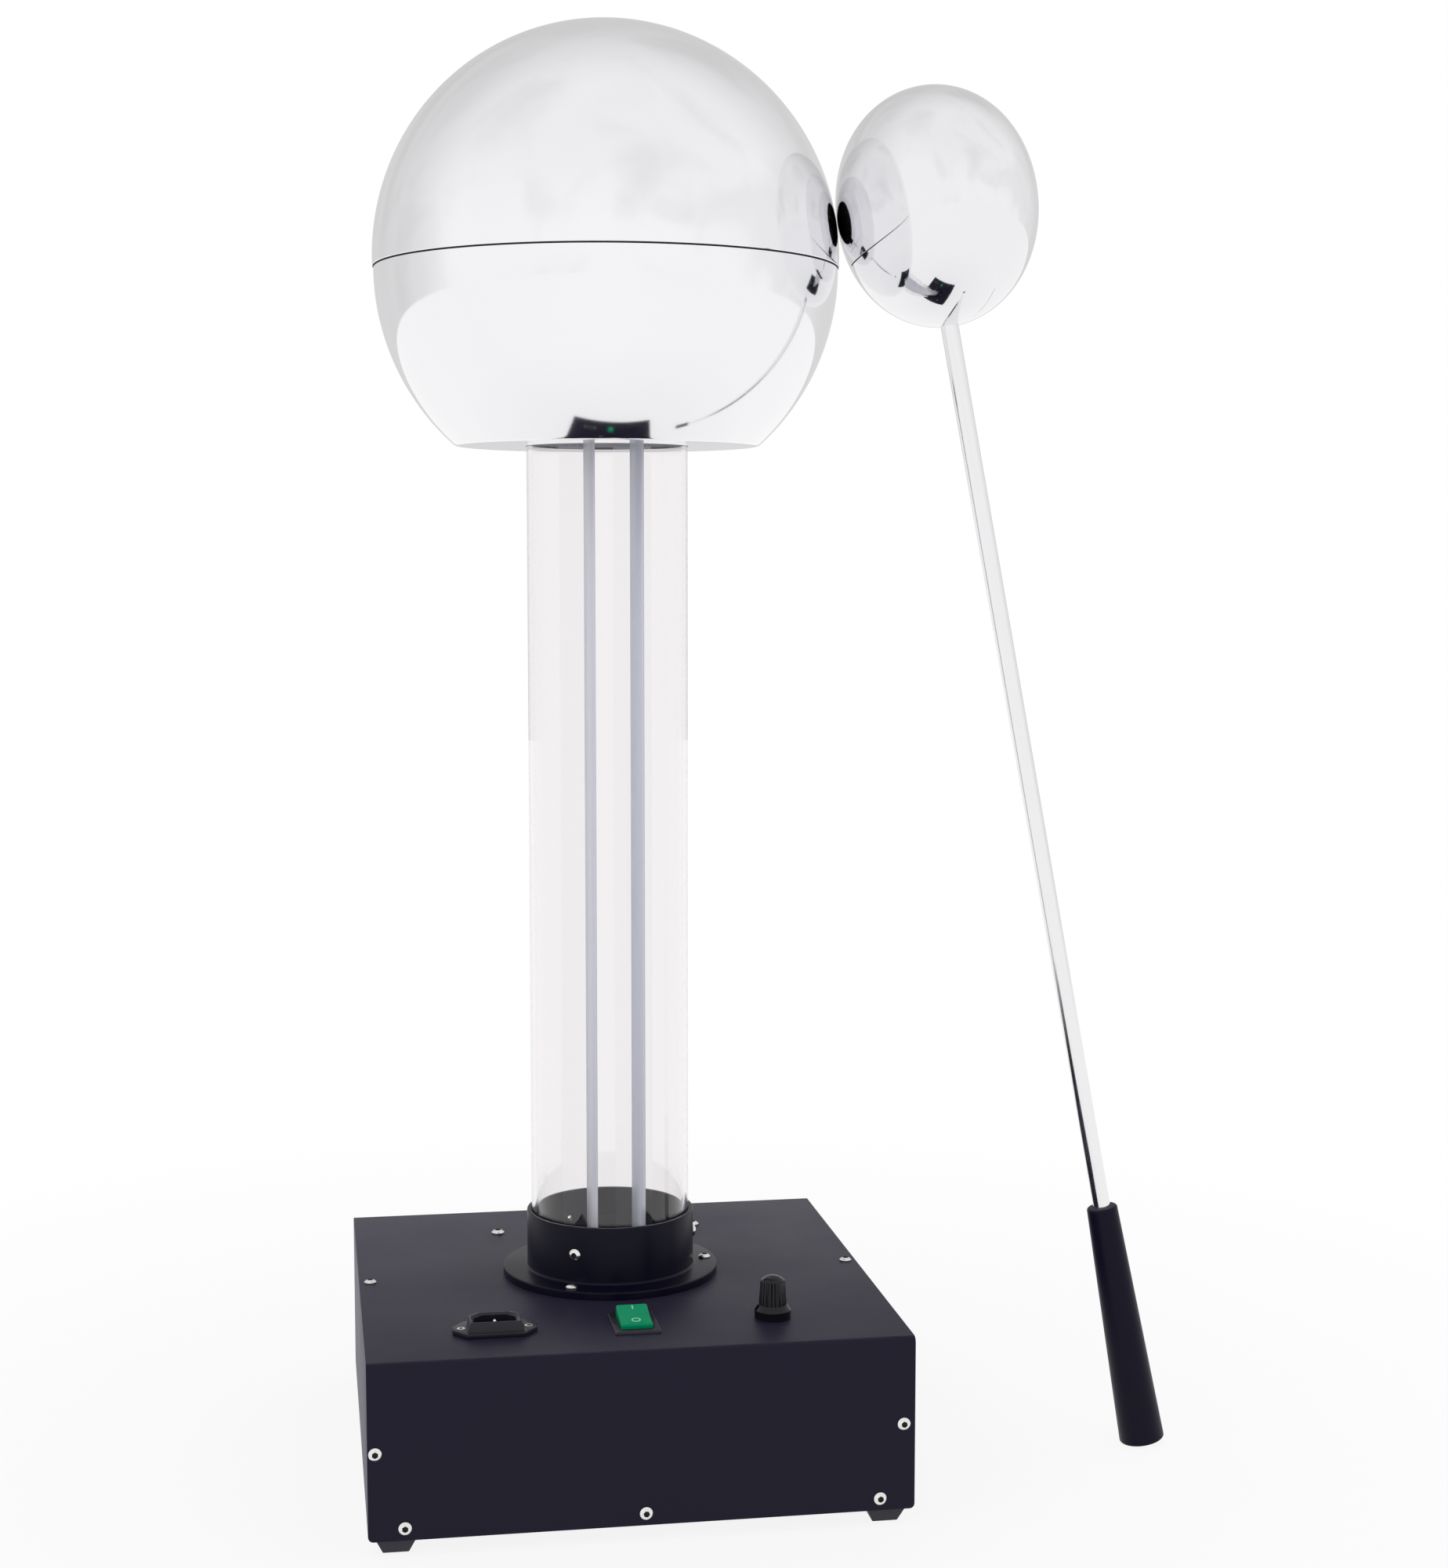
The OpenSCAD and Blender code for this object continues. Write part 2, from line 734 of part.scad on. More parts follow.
module motor_spindle() {
    color([0.75, 0.75, 0.77])
    at_lower_axis() rod_y(spindle_r, shaft_ends[1], motor_y + spindle_in - 1);
}

// Crowned roller along Y round the origin, with a bore
module crowned_roller(bore) {
    rotate([90, 0, 0]) rotate_extrude() polygon([
        [bore, -roller_len/2], [roller_r, -roller_len/2], [roller_r + roller_crown, -roller_len/6],
        [roller_r + roller_crown, roller_len/6], [roller_r, roller_len/2], [bore, roller_len/2]
    ]);
}

module lower_roller() {
    color([0.85, 0.85, 0.82]) at_lower_axis() crowned_roller(shaft_r);
}

// Strip with a row of points along Y, pointing up from z = 0
module comb() {
    teeth = floor(comb_len/comb_pitch);
    rotate([90, 0, 90]) linear_extrude(comb_t)
        polygon(concat(
            [[teeth*comb_pitch/2, -comb_back], [-teeth*comb_pitch/2, -comb_back]],
            [for (i = [0:teeth - 1], p = [0, 1])
                [-teeth*comb_pitch/2 + (i + p/2)*comb_pitch, p == 0 ? -comb_tooth : 0]],
            [[teeth*comb_pitch/2, -comb_tooth]]
        ));
}

module lower_comb() {
    color([0.8, 0.65, 0.3])
    translate([roller_shift, 0, lower_z - belt_out - comb_gap]) comb();
}

module comb_bracket() {
    strip_z = lower_z - belt_out - comb_gap - comb_tooth - 1;
    wall = 2;
    color([0.9, 0.9, 0.88])
    translate([roller_shift + comb_t, -comb_len/2, floor_z]) union() {
        cube([wall, comb_len, strip_z - floor_z]);
        cube([22, comb_len, wall]);
        for (y = [0, comb_len - wall]) translate([wall, y, wall])
            rotate([90, 0, 0]) translate([0, 0, -wall]) linear_extrude(wall)
                polygon([[0, 0], [12, 0], [0, 10]]);
    }
}

// ---------- electric parts ----------

module at_spacers() {
    for (x = [spacer_inset, board[0] - spacer_inset], y = [spacer_inset, board[1] - spacer_inset])
        translate([board_at[0] + x, board_at[1] + y, 0]) children();
}

module control_board() {
    color([0.1, 0.35, 0.2])
    difference() {
        translate([board_at[0], board_at[1], board_z]) cube(board);
        at_spacers() translate([0, 0, board_z - 1]) cylinder(d = m3[0] + 2*clear, h = board[2] + 2);
    }
}

module board_spacers() {
    color([0.85, 0.85, 0.8])
    at_spacers() translate([0, 0, floor_z]) {
        ring(3, m3[0]/2, spacer_h);
        translate([0, 0, spacer_h + board[2]]) screw(m3, board[2] + 5);
    }
}

module heat_sink() {
    fins = 6;
    size = [30, 24, 26];
    fin = 1.6;
    base_t = 3;
    color([0.7, 0.7, 0.72])
    translate([board_at[0] + 14, board_at[1] + 26, board_z + board[2]]) {
        cube([size[0], base_t, size[2]]);
        for (i = [0:fins - 1])
            translate([i*(size[0] - fin)/(fins - 1), base_t, 0]) cube([fin, size[1] - base_t, size[2]]);
    }
}

module board_parts() {
    color([0.2, 0.25, 0.5])
    translate([board_at[0], board_at[1], board_z + board[2]]) {
        translate([16, 14, 0]) cylinder(r = 7, h = 22);
        translate([34, 14, 0]) cylinder(r = 5, h = 14);
        translate([50, 12, 0]) cube([28, 20, 18]);
        translate([56, 38, 0]) cube([22, 11, 10]);
    }
}

module speed_control() {
    color([0.5, 0.5, 0.52])
    at_knob() difference() {
        union() {
            translate([0, 0, roof_z - control_len]) cylinder(r = control_r, h = control_len);
            translate([0, 0, roof_z - 1]) cylinder(r = control_neck_r, h = control_neck_h + 1);
        }
        translate([0, 0, roof_z - control_len/2]) cylinder(r = spindle_r + running, h = control_len + control_neck_h);
    }
}

module control_nut() {
    color([0.8, 0.8, 0.8])
    at_knob() translate([0, 0, box_top]) difference() {
        cylinder(r = 6.4, h = 2.2, $fn = 6);
        translate([0, 0, -1]) cylinder(r = control_neck_r, h = 5);
    }
}

module control_spindle() {
    bottom = roof_z - control_len/2 + touch;
    color([0.78, 0.78, 0.8])
    at_knob() translate([0, 0, bottom]) cylinder(r = spindle_r, h = box_top + knob_h - knob_crown_h - 3 - bottom);
}

module speed_knob() {
    crown_r = (knob_tip_r^2 + knob_crown_h^2)/(2*knob_crown_h);
    body_z = knob_skirt_h + knob_cone_h;
    body_h = knob_h - knob_gap - body_z - knob_crown_h;
    color([0.06, 0.06, 0.07])
    at_knob() translate([0, 0, box_top + knob_gap]) difference() {
        union() {
            cylinder(d = knob_d, h = knob_skirt_h);
            translate([0, 0, knob_skirt_h]) cylinder(d1 = knob_d, r2 = knob_body_r, h = knob_cone_h);
            translate([0, 0, body_z]) cylinder(r1 = knob_body_r, r2 = knob_tip_r, h = body_h);
            translate([0, 0, body_z + body_h]) intersection() {
                translate([0, 0, knob_crown_h - crown_r]) sphere(r = crown_r);
                cylinder(r = knob_tip_r, h = knob_crown_h + 1);
            }
        }
        for (i = [0:knob_flutes - 1]) rotate([0, 0, i*360/knob_flutes])
            translate([knob_body_r + flute_out, 0, body_z])
                rotate([0, -atan((knob_body_r - knob_tip_r)/body_h), 0])
                    cylinder(r = flute_r, h = body_h + knob_crown_h);
        translate([0, 0, -1]) cylinder(r = control_neck_r + knob_wall + 1, h = control_neck_h - sheet + 1);
        translate([0, 0, -1]) cylinder(r = spindle_r, h = knob_h - knob_gap - knob_crown_h - 2);
    }
}

// Rectangle with its two back corners cut, as the mating plug has them
module inlet_outline(size, cut) {
    x = size[0]/2;
    y = size[1]/2;
    polygon([[-x, -y], [x, -y], [x, y - cut], [x - cut, y], [-x + cut, y], [-x, y - cut]]);
}

module inlet_housing() {
    half_w = inlet_w/2;
    half_d = inlet_flange_d/2;
    shoulder = inlet_rim_foot[0]/2 + 0.2;
    corner_wall = 1.5;
    rim_cut = inlet_cut + (inlet_rim_foot - inlet_mouth)*[0.5, 0.5] - corner_wall*sqrt(2);
    top = inlet_flange_t + inlet_rim_h;
    color([0.08, 0.08, 0.1])
    at_inlet() difference() {
        union() {
            linear_extrude(inlet_flange_t) polygon([
                [-half_w, -inlet_tip/2], [-shoulder, -half_d], [shoulder, -half_d], [half_w, -inlet_tip/2],
                [half_w, inlet_tip/2], [shoulder, half_d], [-shoulder, half_d], [-half_w, inlet_tip/2]
            ]);
            translate([0, 0, inlet_flange_t - eps]) intersection() {
                leaning_block(inlet_rim_foot, inlet_rim, inlet_rim_h + eps);
                linear_extrude(top) inlet_outline(inlet_rim_foot, rim_cut);
            }
            translate([0, 0, -inlet_low]) linear_extrude(inlet_low + 1) square(inlet_body, center = true);
        }
        translate([0, 0, top - inlet_well_depth]) linear_extrude(inlet_well_depth + 1)
            inlet_outline(inlet_well, inlet_cut);
        translate([0, 0, top - inlet_mouth_h]) intersection() {
            leaning_block(inlet_well, inlet_mouth*2 - inlet_well, 2*inlet_mouth_h);
            linear_extrude(top) inlet_outline(inlet_mouth, inlet_cut);
        }
        at_inlet_screws() {
            translate([0, 0, -inlet_flange_t - 1]) cylinder(d = m3[0] + 2*clear, h = inlet_flange_t + 2);
            translate([0, 0, -inlet_screw_head]) cylinder(d1 = m3[0], d2 = inlet_screw_d, h = inlet_screw_head);
        }
        at_pins() translate([-pin_size[0]/2, -pin_size[1]/2, -inlet_low - 1])
            cube([pin_size[0], pin_size[1], inlet_low + top]);
    }
}

module at_inlet_screws() {
    for (x = [-1, 1]) translate([x*inlet_pitch/2, 0, inlet_flange_t]) children();
}

module at_earth_pin() translate([0, pin_shift, 0]) children();
module at_line_pins() for (x = [-1, 1]) translate([x*pin_spread, -pin_shift, 0]) children();

module at_pins() {
    at_earth_pin() children();
    at_line_pins() children();
}

module inlet_pin(below_rim) {
    low = -inlet_low - tab_len;
    translate([-pin_size[0]/2, -pin_size[1]/2, low])
        cube([pin_size[0], pin_size[1], inlet_flange_t + inlet_rim_h - below_rim - low]);
}

module inlet_pins() {
    color([0.8, 0.78, 0.7])
    at_inlet() {
        at_earth_pin() inlet_pin(earth_below_rim);
        at_line_pins() inlet_pin(pin_below_rim);
    }
}

module inlet_screws() {
    color([0.78, 0.78, 0.8])
    at_inlet() at_inlet_screws()
        flush_screw(m3, inlet_screw_d, inlet_screw_head, inlet_flange_t + sheet + 5);
}

module switch_frame() {
    edge = 0.7;
    color([0.09, 0.09, 0.11])
    at_switch() difference() {
        union() {
            translate([0, 0, box_top]) linear_extrude(switch_t - edge) square([switch_w, switch_l], center = true);
            translate([0, 0, box_top + switch_t - edge])
                leaning_block([switch_w, switch_l], [switch_w - 2*edge, switch_l - 2*edge], edge);
            translate([0, 0, box_top - switch_deep]) linear_extrude(switch_deep + 1)
                square(switch_body, center = true);
        }
        translate([0, 0, well_floor]) linear_extrude(box_top) square(well_size, center = true);
        translate([0, 0, pivot_z]) rotate([0, 90, 0])
            cylinder(r = rocker_pin_r + running, h = well_size[0] + 2.4, center = true);
        at_tabs() translate([-0.4, -3.15, box_top - switch_deep - 1]) cube([0.8, 6.3, 5]);
    }
}

module at_tabs() {
    for (x = [-1, 1], y = [-1, 1]) translate([x*6, y*9, 0]) children();
}

module switch_tabs() {
    color([0.8, 0.78, 0.7])
    at_switch() at_tabs() translate([-0.4, -3.15, box_top - switch_deep - tab_len])
        cube([0.8, 6.3, tab_len + 3.9]);
}

// Rocker with its front pressed down, which is off
module switch_rocker() {
    half_w = rocker_size[0]/2;
    half_l = rocker_size[1]/2;
    color([0.04, 0.58, 0.36])
    at_switch() translate([0, 0, pivot_z]) rotate([rocker_tilt, 0, 0]) union() {
        intersection() {
            rotate([90, 0, 90]) linear_extrude(rocker_size[0], center = true)
                polygon([
                    [-half_l, rocker_low], [-half_l + 4, rocker_low - 1.6], [half_l - 4, rocker_low - 1.6],
                    [half_l, rocker_low], [half_l, rocker_top], [0, rocker_top - rocker_dip], [-half_l, rocker_top]
                ]);
            rotate([90, 0, 0]) linear_extrude(rocker_size[1] + 2, center = true)
                polygon([
                    [-half_w, rocker_low - 3], [half_w, rocker_low - 3], [half_w, rocker_top/2],
                    [rocker_face_w/2, rocker_top + 1], [-rocker_face_w/2, rocker_top + 1], [-half_w, rocker_top/2]
                ]);
        }
        rotate([0, 90, 0]) cylinder(r = rocker_pin_r, h = well_size[0] + 1.6, center = true);
    }
}

// ---------- column and belt ----------

module tube() {
    color([0.9, 0.92, 0.95, 0.35])
    difference() {
        translate([0, 0, box_top]) ring(tube_r, bore_r, tube_len);
        on_cylinder(bore_r - 2, box_top + collar_screw_h) cylinder(d = m4[0], h = tube_wall + 4);
        on_cylinder(bore_r - 2, tube_top - cup_skirt/2) cylinder(d = m3[0], h = tube_wall + 4);
    }
}

module belt() {
    color([0.55, 0.6, 0.72, 0.8])
    translate([roller_shift, belt_w/2, 0]) rotate([90, 0, 0]) linear_extrude(belt_w)
        difference() {
            belt_outline(belt_out);
            belt_outline(belt_in);
        }
}

module belt_outline(r) {
    for (z = [lower_z, upper_z]) translate([0, z]) circle(r = r);
    translate([-r, lower_z]) square([2*r, upper_z - lower_z]);
}

// ---------- head inside the dome ----------

module dome_ring() {
    color([0.65, 0.66, 0.68])
    difference() {
        translate([0, 0, dome_z + dome_wall]) ring(ring_out, tube_r + slip, ring_h);
        on_cylinder(tube_r - 1, dome_z + dome_wall + ring_h/2) cylinder(d = m4[0], h = ring_out);
    }
}

module ring_screws() {
    color([0.75, 0.75, 0.77])
    on_cylinder(tube_r + eps, dome_z + dome_wall + ring_h/2) cylinder(d = m4[0], h = ring_out - tube_r - 1);
}

module head_cup() {
    slot = [2*belt_out + 6, 2*head_cheek_y];
    color([0.7, 0.71, 0.73])
    difference() {
        union() {
            translate([0, 0, tube_top - cup_skirt]) cylinder(r = cup_out, h = cup_skirt + cup_top_t);
            for (side = [0, 1]) mirror([0, side, 0])
                translate([roller_shift - head_cheek_w/2, head_cheek_y, tube_top])
                    cube([head_cheek_w, head_cheek_t, bridge_z - tube_top]);
        }
        translate([0, 0, tube_top - cup_skirt - 1]) cylinder(r = cup_in, h = cup_skirt + 1);
        translate([roller_shift - slot[0]/2, -slot[1]/2, tube_top - 1]) cube([slot[0], slot[1], cup_top_t + 2]);
        at_upper_axis() rod_y(shaft_r, -axle_end, axle_end);
        on_cylinder(cup_in - 2, tube_top - cup_skirt/2) cylinder(d = m3[0], h = cup_wall + 4);
    }
}

module head_screws() {
    color([0.75, 0.75, 0.77])
    on_cylinder(cup_out + eps, tube_top - cup_skirt/2) screw(m3, cup_wall + tube_wall);
}

module upper_axle() {
    color([0.75, 0.75, 0.77]) at_upper_axis() rod_y(shaft_r, -axle_end, axle_end);
}

module axle_clips() {
    color([0.3, 0.3, 0.32])
    at_upper_axis() for (side = [0, 1]) mirror([0, side, 0]) difference() {
        rod_y(shaft_r + 3, head_cheek_y + head_cheek_t, head_cheek_y + head_cheek_t + 1.2);
        rod_y(shaft_r, head_cheek_y, axle_end + 1);
    }
}

roller_bush_r = 8;
roller_bush_len = 10;

module upper_roller() {
    color([0.85, 0.85, 0.82])
    at_upper_axis() difference() {
        crowned_roller(shaft_r + 1);
        for (side = [0, 1]) mirror([0, side, 0])
            rod_y(roller_bush_r, roller_len/2 - roller_bush_len, roller_len/2 + 1);
    }
}

module roller_bushes() {
    color([0.75, 0.6, 0.3])
    at_upper_axis() for (side = [0, 1]) mirror([0, side, 0]) difference() {
        rod_y(roller_bush_r, roller_len/2 - roller_bush_len, roller_len/2);
        rod_y(shaft_r + running, roller_len/2 - roller_bush_len - 1, roller_len/2 + 1);
    }
}

module comb_bridge() {
    reach = head_cheek_y + head_cheek_t;
    color([0.7, 0.71, 0.73])
    translate([roller_shift - bridge_w/2, -reach, bridge_z]) cube([bridge_w, 2*reach, bridge_t]);
}

module upper_comb() {
    color([0.8, 0.65, 0.3])
    translate([roller_shift - comb_t/2, 0, bridge_z - comb_back]) mirror([0, 0, 1]) comb();
}

module contact_rod() {
    rod_from = bridge_z + bridge_t;
    tip_r = 4;
    color([0.8, 0.65, 0.3]) translate([0, 0, rod_from]) {
        cylinder(r = 1.5, h = dome_top_in - touch - tip_r - rod_from);
        translate([0, 0, dome_top_in - touch - tip_r - rod_from]) sphere(r = tip_r);
        cylinder(r = 4, h = 3);
    }
}

// ---------- dome ----------

// Section of the lower half: a sphere cut off flat below, with a rounded edge
module lower_section(wall) {
    r = lower_r - wall;
    edge = dome_edge_r - wall;
    flat = wall - dome_drop;
    edge_y = flat + edge;
    edge_x = sqrt((r - edge)^2 - edge_y^2);
    intersection() {
        circle(r = r, $fn = 180);
        translate([0, flat]) square([r + 1, dome_drop - wall]);
        union() {
            translate([0, flat]) square([edge_x, dome_drop]);
            translate([edge_x, edge_y]) circle(r = edge);
            polygon([[0, 0], [edge_x, edge_y], [edge_x, edge_y]*2, [r*2, edge_y], [r*2, 0]]);
        }
    }
}

module dome_lower() {
    color([0.82, 0.83, 0.86])
    translate([0, 0, seam_z]) rotate_extrude($fn = 180)
        difference() {
            union() {
                lower_section(0);
                square([lower_lap_r, dome_lap]);
            }
            lower_section(dome_wall);
            translate([0, -eps]) square([lower_lap_r - dome_wall, dome_lap + 1]);
            translate([0, -dome_drop - 1]) square([dome_hole_r, dome_drop]);
        }
}

module dome_upper() {
    color([0.84, 0.85, 0.88])
    translate([0, 0, seam_z]) rotate_extrude($fn = 180)
        difference() {
            union() {
                square([dome_r, dome_skirt]);
                translate([0, dome_skirt]) intersection() {
                    circle(r = dome_r, $fn = 180);
                    square(dome_r + 1);
                }
            }
            translate([0, -1]) square([dome_in, dome_skirt + 1]);
            translate([0, dome_skirt]) circle(r = dome_in, $fn = 180);
        }
}

// ---------- discharge wand ----------

// The wand's own frame: its foot is at the origin and its rod runs up Z
module in_wand() {
    translate(wand_at) rotate([0, -wand_lean, 0]) children();
}

module wand_handle() {
    color([0.06, 0.06, 0.07])
    in_wand() difference() {
        rotate_extrude() polygon([
            [0, 0], [handle_foot_r, 0], [handle_low_d/2, handle_edge],
            [handle_top_d/2, handle_len - handle_edge],
            [handle_top_d/2 - handle_edge, handle_len], [0, handle_len]
        ]);
        translate([0, 0, handle_len - rod_in_handle]) cylinder(r = rod_r, h = rod_in_handle + 1);
    }
}

// The bush stands on the ball's inner wall, which rises away from the seam
inner_shoulder = ball_shoulder - ball_wall;
wall_rise = inner_shoulder - sqrt(inner_shoulder^2 - (ball_shift + bush_r_out)^2);
bush_z = wand_len - ball_r + ball_wall + wall_rise + slip;
rod_top = bush_z + rod_above_bush;

module wand_rod() {
    color([0.8, 0.8, 0.83])
    in_wand() translate([0, 0, handle_len - rod_in_handle]) cylinder(r = rod_r, h = rod_top - handle_len + rod_in_handle);
}

// Flanged bush inside the ball, where the rod comes in
module rod_bush() {
    color([0.7, 0.7, 0.72])
    in_wand() translate([0, 0, bush_z]) ring(bush_r_out, rod_r, rod_bush_h);
}

module rod_nut() {
    color([0.7, 0.7, 0.72])
    in_wand() translate([0, 0, bush_z + rod_bush_h]) difference() {
        cylinder(r = rod_r + 4, h = rod_nut_h, $fn = 6);
        translate([0, 0, -1]) cylinder(r = rod_r, h = rod_nut_h + 2);
    }
}

// Section of half a ball, with its axis along Y and its seam on the X axis
module ball_section(wall) {
    r = ball_r - wall;
    shoulder = ball_shoulder - wall;
    mid = r - shoulder;
    far = 2*face_r/norm([mid, face_back]);
    intersection() {
        union() {
            intersection() {
                translate([0, -face_back]) circle(r = face_r - wall, $fn = 180);
                polygon([[0, -face_back], [mid*far, face_back*(far - 1)], [0, 2*face_r]]);
            }
            translate([mid, 0]) circle(r = shoulder, $fn = 180);
        }
        square([ball_r + 1, ball_h + 1]);
    }
}

module ball_half() {
    rotate([0, 90, 0]) rotate_extrude($fn = 180) difference() {
        ball_section(0);
        ball_section(ball_wall);
    }
}

module at_ball() {
    in_wand() translate([0, 0, wand_len]) rotate([0, 0, ball_turn]) translate([ball_shift, 0, 0])
        children();
}

module ball_near_half() {
    color([0.84, 0.85, 0.88])
    difference() {
        at_ball() mirror([1, 0, 0]) ball_half();
        in_wand() translate([0, 0, wand_len - ball_r - 5]) cylinder(r = rod_r + slip, h = 20);
    }
}

module ball_far_half() {
    color([0.84, 0.85, 0.88])
    difference() {
        at_ball() ball_half();
        in_wand() translate([0, 0, wand_len - ball_r - 5]) cylinder(r = rod_r + slip, h = 20);
    }
}

base_cover();
side_panel_left();
side_panel_right();
base_plate();
feet();
foot_screws();
cover_screws();
low_screws();
column_collar();
flange_screws();
collar_screws();
motor_bracket();
bracket_screws();
motor_case();
motor_end_cap();
motor_screws();
roller_frame();
shaft_bushes();
drive_shaft();
shaft_coupling();
motor_spindle();
lower_roller();
lower_comb();
comb_bracket();
control_board();
board_spacers();
heat_sink();
board_parts();
speed_control();
control_nut();
control_spindle();
speed_knob();
inlet_housing();
inlet_pins();
inlet_screws();
switch_frame();
switch_rocker();
switch_tabs();
tube();
belt();
dome_ring();
ring_screws();
head_cup();
head_screws();
upper_axle();
axle_clips();
upper_roller();
roller_bushes();
comb_bridge();
upper_comb();
contact_rod();
dome_lower();
dome_upper();
wand_handle();
wand_rod();
rod_nut();
rod_bush();
ball_near_half();
ball_far_half();
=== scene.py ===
"""Looks of a Van de Graaff generator: polished dome, clear column, black sheet-metal box and discharge wand.

Metres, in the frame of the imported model: X to the right, Y to the back, Z up, with the origin on the floor
under the axis of the column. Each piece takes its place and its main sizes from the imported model.
"""

import json
from math import atan2, cos, degrees, pi, radians, sin, sqrt

import bmesh
import bpy
from bpy.props import FloatProperty, FloatVectorProperty, IntProperty, PointerProperty
from mathutils import Matrix, Vector


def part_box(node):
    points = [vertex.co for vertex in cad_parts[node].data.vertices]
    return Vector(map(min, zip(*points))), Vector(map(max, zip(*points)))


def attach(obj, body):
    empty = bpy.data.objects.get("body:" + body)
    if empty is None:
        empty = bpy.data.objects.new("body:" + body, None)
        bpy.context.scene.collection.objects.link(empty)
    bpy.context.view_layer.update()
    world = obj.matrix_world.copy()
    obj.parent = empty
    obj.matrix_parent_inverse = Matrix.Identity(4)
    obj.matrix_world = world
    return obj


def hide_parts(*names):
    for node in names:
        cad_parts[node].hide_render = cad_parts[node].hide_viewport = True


bl_info = {
    "name": "Van de Graaff Generator",
    "version": (1, 0, 0),
    "blender": (4, 5, 0),
    "location": "View3D > Sidebar > Generator",
    "description": "Builds the dome, column, box, controls and wand of an electrostatic generator",
    "category": "Object",
}

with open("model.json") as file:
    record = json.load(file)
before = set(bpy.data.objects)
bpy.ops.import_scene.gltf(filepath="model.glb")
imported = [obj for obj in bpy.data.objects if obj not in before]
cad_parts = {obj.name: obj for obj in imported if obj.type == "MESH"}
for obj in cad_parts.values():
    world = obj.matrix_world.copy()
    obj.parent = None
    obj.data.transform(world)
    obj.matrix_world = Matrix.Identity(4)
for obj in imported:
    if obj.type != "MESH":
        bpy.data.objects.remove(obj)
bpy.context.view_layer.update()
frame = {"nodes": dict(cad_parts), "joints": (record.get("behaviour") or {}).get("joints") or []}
MM = 0.001
TINY = 1e-6
UP = Vector((0, 0, 1))


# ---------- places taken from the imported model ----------

def low(node):
    return Vector(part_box(node)[0])


def high(node):
    return Vector(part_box(node)[1])


def middle(node):
    return (low(node) + high(node)) / 2


def span(node):
    return high(node) - low(node)


def joint(name):
    return next(each for each in frame["joints"] if each["name"] == name)


DOME_R = span("dome_upper").x / 2
SEAM_Z = low("dome_upper").z
DOME_MID_Z = high("dome_upper").z - DOME_R
TUBE_R = span("tube").x / 2
BOX_TOP = high("base_cover").z
LEAN = radians(joint("wand_tilt")["range_deg"][1])
ROCKER_TILT = radians(joint("rocker_tilt")["range_deg"][1]) / 2
ROD_R = span("wand_rod").y / 2


def rod_end(upper):
    """Centre of the rod's upper or lower end, from the box round the leaning rod."""
    across = ROD_R * cos(LEAN)
    drop = ROD_R * sin(LEAN)
    if upper:
        return Vector((low("wand_rod").x + across, middle("wand_rod").y, high("wand_rod").z - drop))
    return Vector((high("wand_rod").x - across, middle("wand_rod").y, low("wand_rod").z + drop))


WAND_UP = (rod_end(True) - rod_end(False)).normalized()
BALL_MIDDLE = (low("ball_near_half") + high("ball_far_half")) / 2


# ---------- sizes and colours that a user would change ----------

def length(name, description, default):
    return FloatProperty(
        name=name, description=description, default=default, min=0, unit="LENGTH", precision=4)


def turn(name, description, default):
    return FloatProperty(name=name, description=description, default=radians(default), unit="ROTATION")


def colour(name, description, default):
    return FloatVectorProperty(
        name=name, description=description, default=default, size=3, min=0, max=1, subtype="COLOR")


def factor(name, description, default):
    return FloatProperty(name=name, description=description, default=default, min=0, max=4, subtype="FACTOR")


class DomeSizes(bpy.types.PropertyGroup):
    wall: length("Wall", "Thickness of the spun sheet", 1.5 * MM)
    lap: length("Lap", "Height of the lower half's sleeve inside the upper half",
                high("dome_lower").z - SEAM_Z)
    lap_gap: length("Lap gap", "Gap round the sleeve", 0.3 * MM)
    rim_edge: length("Rim edge", "Rounding of the rims at the seam", 0.35 * MM)
    groove: length("Groove", "Height of the dark gap between the two rims", 0.7 * MM)
    flat_edge: length("Flat edge", "Rounding between the round and the flat bottom", 5 * MM)
    hole_gap: length("Hole gap", "Gap round the column", 0.4 * MM)
    facets: IntProperty(name="Facets", description="Steps of a full turn", default=256, min=24)


class ColumnSizes(bpy.types.PropertyGroup):
    tube_wall: length("Tube wall", "Wall of the clear tube", 3 * MM)
    tube_edge: length("Tube edge", "Polished chamfer of the tube's ends", 0.4 * MM)
    tube_facets: IntProperty(name="Tube facets", description="Steps of a full turn", default=384, min=24)
    collar_gap: length("Collar gap", "Gap between the tube and the collar", 0.2 * MM)
    collar_wall: length("Collar wall", "Wall of the collar", 2.8 * MM)
    flange: length("Flange", "Thickness of the collar's flange", 5 * MM)
    flange_edge: length("Flange edge", "Chamfer of the collar's edges", 0.8 * MM)
    fillet: length("Fillet", "Rounding between the collar and its flange", 1.6 * MM)
    belt: length("Belt", "Thickness of the belt", 1.5 * MM)
    screw_turn: turn("Screw turn", "Turn of the collar's cross screws away from the flange's screws", -1.2)


class BoxSizes(bpy.types.PropertyGroup):
    sheet: length("Sheet", "Thickness of the sheet metal", 1.5 * MM)
    bend: length("Bend", "Outer radius of the cover's two long bends", 4 * MM)
    side_bend: length("Side bend", "Outer radius of the side panels' bends", 1.6 * MM)
    corner: length("Corner", "Rounding of the lower corners", 3 * MM)
    burr: length("Burr", "Softened edge of cut sheet", 0.3 * MM)
    column_hole: length("Column hole", "Diameter of the hole under the column", 86 * MM)
    foot_top: length("Foot top", "Width of a foot under the box", 24 * MM)
    foot_low: length("Foot low", "Width of a foot on the floor", 15 * MM)
    foot_pocket: length("Foot pocket", "Radius of the pocket for a foot's screw", 4.4 * MM)
    foot_edge: length("Foot edge", "Rounding of a foot's edges", 0.6 * MM)


